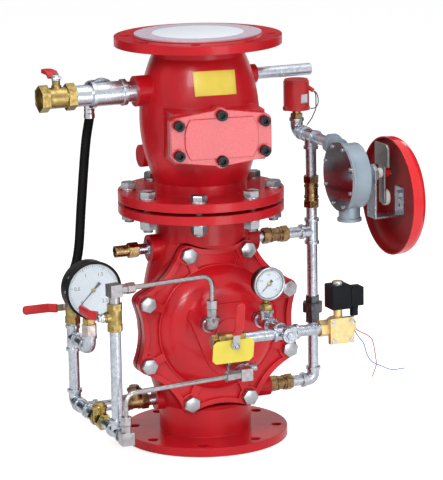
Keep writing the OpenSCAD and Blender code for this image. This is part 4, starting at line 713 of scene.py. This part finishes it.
dial_z = -0.0056
glass_low = -0.0024
glass_high = -0.0018
pointer_z = -0.0046
pointer_t = 0.0006
to_drop = Matrix.Rotation(-pi / 2, 4, "X")        # a stem runs down from the back of its case
adapter_flats = 0.028
foot_flats = 0.024
foot_h = 0.012
for name, place, size, deep, stem_back, drop, adapter, figures in (
        ("large", (-0.265, -0.077, 0.353), 0.118, 0.047, 0.037, 0.100, 0.024,
         ("0", "0.5", "1", "1.5", "2", "2.5")),
        ("small", (0.066, -0.195, 0.355), 0.068, 0.032, 0.023, 0.057, 0,
         ("0", "0.4", "0.8", "1.2", "1.6"))):
    rim = size / 2
    well = rim - 0.0052
    stand = Matrix.Translation(place) @ to_front
    gauge = bmesh.new()
    turned(gauge, [(0, -deep), (rim - 0.010, -deep), (rim - 0.0045, -deep + 0.002),
                   (rim - 0.0026, -deep + 0.006), (rim - 0.0025, -0.0085),
                   (rim - 0.0006, -0.0078), (rim - 0.0003, -0.0068)], material=shell)
    turned(gauge, [(rim - 0.0003, -0.0068), (rim, -0.0060), (rim, -0.0016),
                   (rim - 0.0012, -0.0003), (rim - 0.0030, 0), (well + 0.0004, -0.0008),
                   (well, -0.0018), (well, -0.0060)],
           material=shell if name == "large" else ring)
    turned(gauge, [(well, dial_z), (0, dial_z)], material=dial)
    turned(gauge, [(well - 0.0002, glass_low), (0, glass_low), (0, glass_high),
                   (well - 0.0002, glass_high)], material=glass)
    tick_end = well * 0.93
    steps = (len(figures) - 1) * 10
    for i in range(steps + 1):
        length = well * (0.12 if i % 10 == 0 else 0.085 if i % 5 == 0 else 0.055)
        broad = 0.0009 if i % 10 == 0 else 0.0005
        old = set(gauge.faces)
        bmesh.ops.create_cube(gauge, size=1, matrix=Matrix.Rotation(dial_angle(i / steps), 4, "Z")
                              @ Matrix.Translation((tick_end - length / 2, 0, dial_z + 0.0001))
                              @ Matrix.Diagonal((length, broad, 0.0003, 1)))
        for face in gauge.faces:
            if face not in old:
                face.material_index = dial_ink
    figure_r = well * 0.64
    for i, text in enumerate(figures):
        angle = dial_angle(i / (len(figures) - 1))
        figure(gauge, text, well * 0.2,
               Vector((figure_r * cos(angle), figure_r * sin(angle), dial_z + 0.0002)), dial_ink)
    if name == "large":
        for angle in (150, 180, 210):        # the bezel's three screws on the left
            outward = Vector((cos(radians(angle)), sin(radians(angle)), 0))
            drum(gauge, outward * (rim - 0.003) + up(-0.015),
                 outward.to_track_quat("Z", "Y").to_matrix().to_4x4(), 0.0055, 0.0016,
                 material=ring, segments=20)
    stem = Matrix.Translation((0, -drop, -stem_back)) @ to_drop
    turned(gauge, [(0, -0.010), (0.0113, -0.010), (0.0113, 0.001)], stem,
           foot_zinc if adapter else foot_brass, 40)
    if adapter:
        prism(gauge, stem.to_translation(), to_drop, adapter_flats, adapter, 0.0018,
              material=foot_zinc)
    prism(gauge, stem @ up(adapter), to_drop, foot_flats, foot_h, 0.0016,
          material=foot_brass)
    neck_z = adapter + foot_h
    turned(gauge, [(0.0095, neck_z), (0.0095, neck_z + 0.002), (0.0062, neck_z + 0.0035),
                   (0.0062, drop - rim + 0.004)], stem, foot_brass, 40)
    bmesh.ops.transform(gauge, verts=gauge.verts, matrix=stand)
    gauge_piece = as_object(gauge, name + "_gauge_case", case_black, dial_white, dial_print,
                            gauge_glass, ring_chrome, brass, adapter_zinc)
    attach(gauge_piece, "station")
    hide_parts(name + "_gauge")
    reach = rim - 0.012
    tail_end = -reach * 0.42
    needle = bmesh.new()
    slab(needle, [(tail_end, -0.0036), (0, -0.0012), (reach, -0.0003), (reach, 0.0003),
                  (0, 0.0012), (tail_end, 0.0036)], pointer_t,
         Matrix.Rotation(dial_angle(0), 4, "Z") @ Matrix.Translation((0, 0, pointer_z)),
         ease=0.0001)
    drum(needle, up(-0.0110), upright, 0.004, 0.007, material=1, segments=20)
    drum(needle, up(-0.0041), upright, 0.009, 0.0012, 0.0004, material=1, segments=32)
    bmesh.ops.transform(needle, verts=needle.verts, matrix=stand)
    needle_piece = as_object(needle, name + "_gauge_pointer", black_oxide, brass)
    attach(needle_piece, name + "_needle")
    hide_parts(name + "_gauge_needle")


# Inspection tag: a thin metal sheet with clipped corners, painted yellow on both sides, left bare
# and hung on the centre valve's neck.
yellow_paint = skin("yellow_paint", tint(228, 212, 84), tint(214, 196, 70), clouds=(60, 4),
                    rough=0.3, spread=0.2, bumps=(300, 2), depth=0.0001, round_r=0.0004, IOR=1.48)
dress(yellow_paint, "inspection_tag")


# Water motor: a die cast turbine housing painted pale grey. Its front plate is mirror polished
# steel, held by eight small stainless screws.
motor_paint = skin("motor_paint", tint(150, 164, 176), tint(128, 142, 154), clouds=(30, 3),
                   rough=0.34, spread=0.12, bumps=(420, 3), depth=0.0003, round_r=0.002,
                   Metallic=0.35, IOR=1.48)
dress(motor_paint, "motor_housing")
mirror_steel = bare_metal("mirror_steel", tint(156, 156, 162), tint(136, 136, 144), 0.04,
                          round_r=0.0012, depth=0.00003)
dress(mirror_steel, "motor_plate")
dress(stainless, "plate_screws")


# Striker: a grey balance plate and arm on the motor shaft, a white bush behind them, a red lock
# nut in front and a white nylon puck that knocks on the gong.
plate_grey = skin("plate_grey", tint(156, 154, 152), tint(116, 112, 110), clouds=(120, 3),
                  rough=0.36, spread=0.14, bumps=(700, 2), depth=0.0001, round_r=0.0006,
                  Metallic=0.75, IOR=1.5)
white_nylon = skin("white_nylon", tint(228, 228, 224), tint(212, 211, 205), clouds=(80, 3),
                   rough=0.34, spread=0.12, bumps=(80, 3), depth=0.0002, round_r=0.0006, IOR=1.5)
gloss_enamel = enamel("gloss_enamel", tint(216, 28, 36), tint(196, 20, 28),
                      depth=0.00015, round_r=0.0012, rough=0.12, shine=0.35, coat=0.3)
shaft_turn = Matrix.Rotation(pi / 2, 4, "Y")
shaft_place = Matrix.Translation((0.226, -0.177, 0.556)) @ shaft_turn
shaft_d = 0.012
striker_reach = 0.051
arm_z = 0.097
arm_t = 0.005
arm_half = 0.012
arm_end = striker_reach + 0.0118
hub_end = 0.082
front_z = arm_z + arm_t
front_washer_t = 0.001
puck_h = 0.008


def shift(x, y, z):
    return Matrix.Translation((x, y, z))


def seat_drum(bm, base, z, diameter, height, chamfer=0.0006, material=0, segments=40, x=0.0):
    """A drum on a base that is itself placed and turned, z along it and x off its middle."""
    drum(bm, base @ Vector((x, 0, z)), base.to_3x3().to_4x4(), diameter, height, chamfer,
         material, segments)


steel, nylon, painted_nut = 1, 2, 3        # material numbers on the arm
arm = bmesh.new()
seat_drum(arm, shaft_place, 0.007, shaft_d, hub_end + 0.031, chamfer=0.001, material=steel)
seat_drum(arm, shaft_place, 0.009, 0.108, 0.018, chamfer=0.001, material=steel)
seat_drum(arm, shaft_place, hub_end + 0.005, 0.020, 0.010, chamfer=0.001, material=nylon)
slab(arm, [(-0.060, 0.030), (-0.060, -0.021), (-0.051, -0.030), (-0.014, -0.030), (-0.014, 0.030)],
     arm_t, shaft_place @ shift(0, 0, arm_z), 0.0012)
slab(arm, [(-0.016, 0.014), (-0.016, -0.014), (0.012, -arm_half), (arm_end, -arm_half),
           (arm_end, arm_half), (0.012, arm_half)], arm_t - 0.0006,
     shaft_place @ shift(0, 0, arm_z + 0.0003), 0.0052)
seat_drum(arm, shaft_place, front_z, 0.022, front_washer_t, chamfer=0.0003, material=steel)
prism(arm, shaft_place @ up(front_z + front_washer_t), shaft_turn, 0.019, 0.009,
      material=painted_nut)
arm_piece = as_object(arm, "striker_arm_set", plate_grey, stainless, white_nylon, gloss_enamel)
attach(arm_piece, "motor_shaft")
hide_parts("striker_shaft")

puck = bmesh.new()
seat_drum(puck, shaft_place, front_z, 0.034, puck_h, chamfer=0.0014, segments=56,
          x=striker_reach)
prism(puck, shaft_place @ Vector((striker_reach, 0, front_z + puck_h)), shaft_turn, 0.008, 0.004,
      chamfer=0.0006, material=1)
puck_piece = as_object(puck, "striker_puck", white_nylon, zinc_plate)
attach(puck_piece, "motor_shaft")
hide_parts("striker")


# Gong: a spun steel dish in bright red gloss outside and a duller coat inside, whose darker red is
# painted shade; it hangs by a galvanised strap on the back of the motor. The two coats meet in the
# middle of its wall.
gong_paint, shader, coords = new_material("gong_paint", IOR=1.5, Specular_IOR_Level=0.3,
                                          Coat_Roughness=0.1)
gong_axis = (0, -0.177, 0.507)
shoulder_r = 0.0995
shoulder_x = 0.3485
shoulder_round = 0.020
from_axis = coords.node("VectorMath", {"operation": "SUBTRACT"}, {0: coords, 1: gong_axis})
from_axis = from_axis.node("VectorMath", {"operation": "MULTIPLY"}, {0: from_axis, 1: (0, 1, 1)})
from_axis = from_axis.node("VectorMath", {"operation": "LENGTH"}, {0: from_axis}, out="Value")
along = coords.node("SeparateXYZ", None, {"Vector": coords}, out="X")
past_r = coords.maths("MAXIMUM", from_axis - shoulder_r, 0.0)
past_x = coords.maths("MAXIMUM", along - shoulder_x, 0.0)
outside = coords.maths("SQRT", past_r * past_r + past_x * past_x) > shoulder_round
spray = noise(coords, 12, 3)
# The darker red inside the shoulder is painted shade; the outside keeps the bright red.
feed(shader, Base_Color=mix(outside, mix(spray, tint(150, 22, 26), tint(120, 16, 20)),
                            mix(spray, tint(220, 36, 42), tint(202, 26, 32))),
     Roughness=0.46 - outside * 0.3, Coat_Weight=outside * 0.3,
     Normal=dents(noise(coords, 380, 4), 0.00015, 0.0012))
dress(gong_paint, "gong")


# Pressure switch: a round can of pressed steel, sprayed red, that screws on a brass connector.
# It has a small ear for its seal and a cable gland for the leads.
cap_enamel = enamel("cap_enamel", tint(180, 40, 44), tint(150, 28, 34),
                    depth=0.00015, round_r=0.0012, rough=0.28, shine=0.3)
switch = bmesh.new()
switch_place = shift(0.248, 0.070, 0.655)
turned(switch, [(0, 0), (0.0285, 0), (0.0290, 0.0006), (0.0290, 0.0044), (0.0284, 0.0050),
                (0.0272, 0.0052), (0.0270, 0.0060), (0.0270, 0.0590), (0.0264, 0.0605),
                (0.0255, 0.0609), (0.0253, 0.0630), (0.0243, 0.0640), (0, 0.0640)], switch_place)
slab(switch, [(-0.032, -0.005), (-0.022, -0.005), (-0.022, 0.005), (-0.032, 0.005)], 0.009,
     switch_place @ Matrix.Rotation(radians(12), 4, "Z"), 0.002)
gland = (switch_place @ Matrix.Rotation(radians(-30), 4, "Z") @ shift(0.025, 0, 0.047)
         @ Matrix.Rotation(radians(125), 4, "Y"))
seat_drum(switch, gland, 0, 0.009, 0.0138, 0.0008)
switch_piece = as_object(switch, "pressure_switch_cap", cap_enamel)
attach(switch_piece, "station")
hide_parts("pressure_switch")


# Solenoid: a coil moulded in black nylon on the pale brass body, held by the nut on its core, with
# its square plug and cable gland pushed on from the right.
moulded = skin("moulded", tint(15, 17, 21), tint(27, 30, 35), clouds=(300, 4), rough=0.42,
               spread=0.14, bumps=(1400, 2), depth=0.0001, round_r=0.0004,
               IOR=1.44, Specular_IOR_Level=0.12)
coil_h = 0.048
coil_place = shift(0.180, -0.265, 0.311)
coil = bmesh.new()
slab(coil, [(-0.021, -0.026), (0.021, -0.026), (0.021, 0.016), (-0.021, 0.016)], coil_h,
     coil_place, 0.004, 0.0016)
turned(coil, [(0.0091, 0), (0.0115, 0), (0.0115, 0.0054), (0.0109, 0.006), (0.0091, 0.006)],
       coil_place @ shift(0, -0.0044, coil_h), 1, 40, closed=True)
coil_piece = as_object(coil, "solenoid_coil_block", moulded, stainless)
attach(coil_piece, "station")
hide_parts("solenoid_coil")
plug = bmesh.new()
plug_y = -0.007
slab(plug, [(0.021, -0.022), (0.050, -0.022), (0.050, 0.008), (0.021, 0.008)], 0.038,
     coil_place @ shift(0, 0, 0.003), 0.003, 0.0016)
prism(plug, coil_place @ Vector((0.034, plug_y, -0.004)), upright, 0.0172, 0.008, 0.001)
seat_drum(plug, coil_place @ shift(0.034, plug_y, 0), -0.018, 0.0165, 0.016, 0.0014)
seat_drum(plug, coil_place @ shift(0.050, plug_y, 0.022) @ Matrix.Rotation(pi / 2, 4, "Y"), 0,
          0.007, 0.0012, chamfer=0.0004, material=1, segments=24)
plug_piece = as_object(plug, "solenoid_plug_block", moulded, stainless)
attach(plug_piece, "station")
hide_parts("solenoid_plug")


# Drain hose: smooth black rubber from the fill branch down to the left stack, with a crimped
# bright steel ferrule and a nipple at each end.
hose_rubber = skin("hose_rubber", tint(8, 8, 10), tint(17, 17, 19), clouds=(70, 4), rough=0.44,
                   spread=0.2, bumps=(700, 3), depth=0.0001, IOR=1.45, Specular_IOR_Level=0.1)
bright_steel = bare_metal("bright_steel", tint(214, 215, 218), tint(184, 186, 190), 0.14,
                          brushed=(1, 1, 14))
hose_r = 0.0098
hose_form = round_line("drain_hose_line", [
    (-0.1972, 0.110, 0.672), (-0.1975, 0.110, 0.668), (-0.200, 0.110, 0.655),
    (-0.206, 0.107, 0.630), (-0.212, 0.102, 0.600), (-0.219, 0.095, 0.560),
    (-0.226, 0.087, 0.520), (-0.233, 0.079, 0.480), (-0.2385, 0.072, 0.445),
    (-0.2445, 0.066, 0.410), (-0.253, 0.061, 0.380), (-0.261, 0.058, 0.362),
    (-0.265, 0.058, 0.348), (-0.2652, 0.058, 0.344),
], hose_r, roundness=6, steps=5, capped=False)
bpy.context.view_layer.update()
hose = bmesh.new()
hose.from_mesh(bpy.data.meshes.new_from_object(hose_form))
bpy.data.objects.remove(hose_form)


def ferrule(place, length):
    """A crimped sleeve with two pressed rings, standing on its lower end."""
    outer_r, ring_r, groove_r = 0.0115, 0.0112, 0.0106
    grooves = [(ring_r, 0.30), (groove_r, 0.33), (groove_r, 0.38), (ring_r, 0.41),
               (ring_r, 0.55), (groove_r, 0.58), (groove_r, 0.63), (ring_r, 0.66)]
    turned(hose, [(0.0096, 0), (outer_r, 0), (outer_r, length * 0.24)]
           + [(r, length * z) for r, z in grooves]
           + [(outer_r, length * 0.74), (outer_r, length - 0.0006), (0.0109, length), (0, length)],
           place, 1, 40)


nipple_d = 0.0226
ferrule(shift(-0.197, 0.110, 0.668), 0.0335)
seat_drum(hose, shift(-0.197, 0.110, 0.701), 0, nipple_d, 0.016, material=1)
ferrule(shift(-0.265, 0.058, 0.348) @ Matrix.Rotation(pi, 4, "X"), 0.025)
prism(hose, Vector((-0.265, 0.058, 0.315)), upright, 0.024, 0.008, material=1)
seat_drum(hose, shift(-0.265, 0.058, 0.301), 0, nipple_d, 0.014, material=1)
hose_piece = as_object(hose, "drain_hose_run", hose_rubber, bright_steel)
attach(hose_piece, "station")
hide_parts("drain_hose")


# Mixed metal pieces: the brass plug in the left end of the cover's trim, the brass barrel of the
# drip valve behind its zinc nipple, and the check valves, yellow on the left run and brown on the
# riser.
def two_metals(name, near, far, split):
    """Two metals on one piece: the far one to the left of a plane at x = split."""
    made, shader, coords = new_material(name, Metallic=1.0)
    left = coords.node("SeparateXYZ", None, {"Vector": coords}, out="X") < split
    cloud = ramp(noise(coords, 130, 4), (0.3, 0.0), (0.75, 1.0))
    specks = ramp(noise(coords, 420, 4, 0.65), (0.56, 0.0), (0.68, 1.0))
    feed(shader, Base_Color=mix(left, mix(cloud, *near), mix(cloud, *far)),
         Roughness=0.2 + specks * 0.2,
         Normal=dents(noise(coords, 240, 4) + specks * 0.3, 0.0003, 0.0012))
    return made


zinc_pair = (tint(190, 196, 204), tint(156, 163, 174))
brass_pair = (tint(190, 162, 116), tint(132, 102, 70))
brown_pair = (tint(164, 134, 94), tint(104, 78, 50))
yellow_pair = (tint(186, 164, 100), tint(132, 110, 58))
dress(two_metals("trim_metals", zinc_pair, brass_pair, -0.0795), "cover_trim")
dress(two_metals("drip_metals", zinc_pair, brass_pair, -0.1412), "drip_valve")
dress(two_metals("check_metals", brown_pair, yellow_pair, -0.2), "brass_check_valves")


# Rubber sheets: the diaphragm clamped under the deluge cover and the gaskets of the middle flanges
# and of the check cover, cut from black sheet, their cut edges a little rounded.
rubber = skin("rubber", tint(10, 10, 11), tint(26, 26, 27), clouds=(60, 4), rough=0.55,
              spread=0.25, bumps=(900, 3), depth=0.0001, round_r=0.0006,
              IOR=1.45, Specular_IOR_Level=0.15)


def merged_copy(node):
    """A CAD node's mesh, in its place and with its doubles merged."""
    copy = bmesh.new()
    copy.from_mesh(nodes[node].data)
    bmesh.ops.transform(copy, verts=copy.verts, matrix=nodes[node].matrix_world)
    bmesh.ops.remove_doubles(copy, verts=copy.verts, dist=1e-6)
    return copy


for node, name in (("diaphragm", "diaphragm_sheet"), ("gaskets", "gasket_sheets")):
    sheet = merged_copy(node)
    bmesh.ops.recalc_face_normals(sheet, faces=sheet.faces)
    rims = [e for e in sheet.edges if e.calc_face_angle(0) > 1.0]
    bmesh.ops.bevel(sheet, geom=rims, offset=0.0003, segments=1, profile=0.5, affect="EDGES",
                    material=-1, clamp_overlap=True)
    sheet_piece = as_object(sheet, name, rubber)
    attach(sheet_piece, "station")
    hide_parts(node)


# Clamp spring: a coil of stainless wire behind the clamp plate, which it pushes back on its seat.
# Its mesh is then copied, so that it is its own.
spring_piece = as_object(merged_copy("diaphragm_spring"), "clamp_spring", stainless)
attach(spring_piece, "station")
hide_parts("diaphragm_spring")
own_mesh(spring_piece)


# Labels and plates, all left bare: a round paper label on the outlet's disc, a yellow name plate
# on the check valve's body and a small white label on the pressure switch.
paper = skin("paper", tint(222, 226, 232), tint(208, 213, 221), clouds=(260, 4), rough=0.5,
             spread=0.2, bumps=(260, 4), depth=0.00006, IOR=1.46)
outlet_z = 0.844
disc_label = bmesh.new()
drum(disc_label, up(outlet_z), upright, 0.186, 0.0003, 0.0001, segments=96)
disc_piece = as_object(disc_label, "disc_label", paper)
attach(disc_piece, "station")

photo_middle = (221.5, 240.0)        # in the photograph's pixels
photo_focus = 2704.93


def seen_on(node, spot):
    """The place on a node, and the way it faces, that the camera sees at a place in the picture."""
    solid = nodes[node]
    world_verts = [solid.matrix_world @ v.co for v in solid.data.vertices]
    tree = BVHTree.FromPolygons(world_verts, [p.vertices[:] for p in solid.data.polygons])
    look = camera.matrix_world.to_3x3() @ Vector((spot[0] - photo_middle[0],
                                                  photo_middle[1] - spot[1], -photo_focus))
    place, normal, _, _ = tree.ray_cast(camera_place, look.normalized())
    return place, normal if normal.dot(look) < 0 else -normal


def patch(name, node, corners, columns, rows, thick, lift, material):
    """A thin sheet on a node between four corners in the picture, clockwise from the top left."""
    sheet = bmesh.new()
    bmesh.ops.create_grid(sheet, x_segments=columns, y_segments=rows, size=0.5)
    a, b, c, d = (Vector(corner) for corner in corners)
    for vert in sheet.verts:
        across = vert.co.x + 0.5
        spot = d.lerp(c, across).lerp(a.lerp(b, across), vert.co.y + 0.5)
        place, normal = seen_on(node, spot)
        vert.co = place + normal * lift
    bmesh.ops.solidify(sheet, geom=sheet.faces, thickness=thick)
    rims = [e for e in sheet.edges if e.calc_face_angle(0) > 1.0]
    bmesh.ops.bevel(sheet, geom=rims, offset=thick * 0.3, segments=2, profile=0.5,
                    affect="EDGES", material=-1)
    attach(as_object(sheet, name, material), "station")


bpy.context.view_layer.update()
plate_corners = ((192.6, 71.8), (234.4, 69.5), (236.4, 93.7), (195.1, 96.5))
patch("name_plate", "check_body", plate_corners, columns=10, rows=4, thick=0.0008, lift=0.0005,
      material=yellow_paint)
label_corners = ((301.0, 94.6), (307.2, 94.0), (307.2, 102.8), (301.0, 103.6))
patch("switch_label", "pressure_switch", label_corners, columns=4, rows=3, thick=0.0002,
      lift=0.0003, material=paper)


# Gong bolt: the painted hexagon head on a washer in the middle of the gong, which ties the gong
# to its strap.
gong_bolt_spot = (400.7, 191.7)
place, normal = seen_on("gong", gong_bolt_spot)
facing = normal.to_track_quat("Z", "Y").to_matrix().to_4x4()
knob = bmesh.new()
drum(knob, place - normal * 0.0002, facing, 0.012, 0.0012, 0.0004)
prism(knob, place + normal * 0.001, facing, 0.009, 0.004, 0.0008)
knob_piece = as_object(knob, "gong_bolt_head", gloss_enamel)
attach(knob_piece, "station")
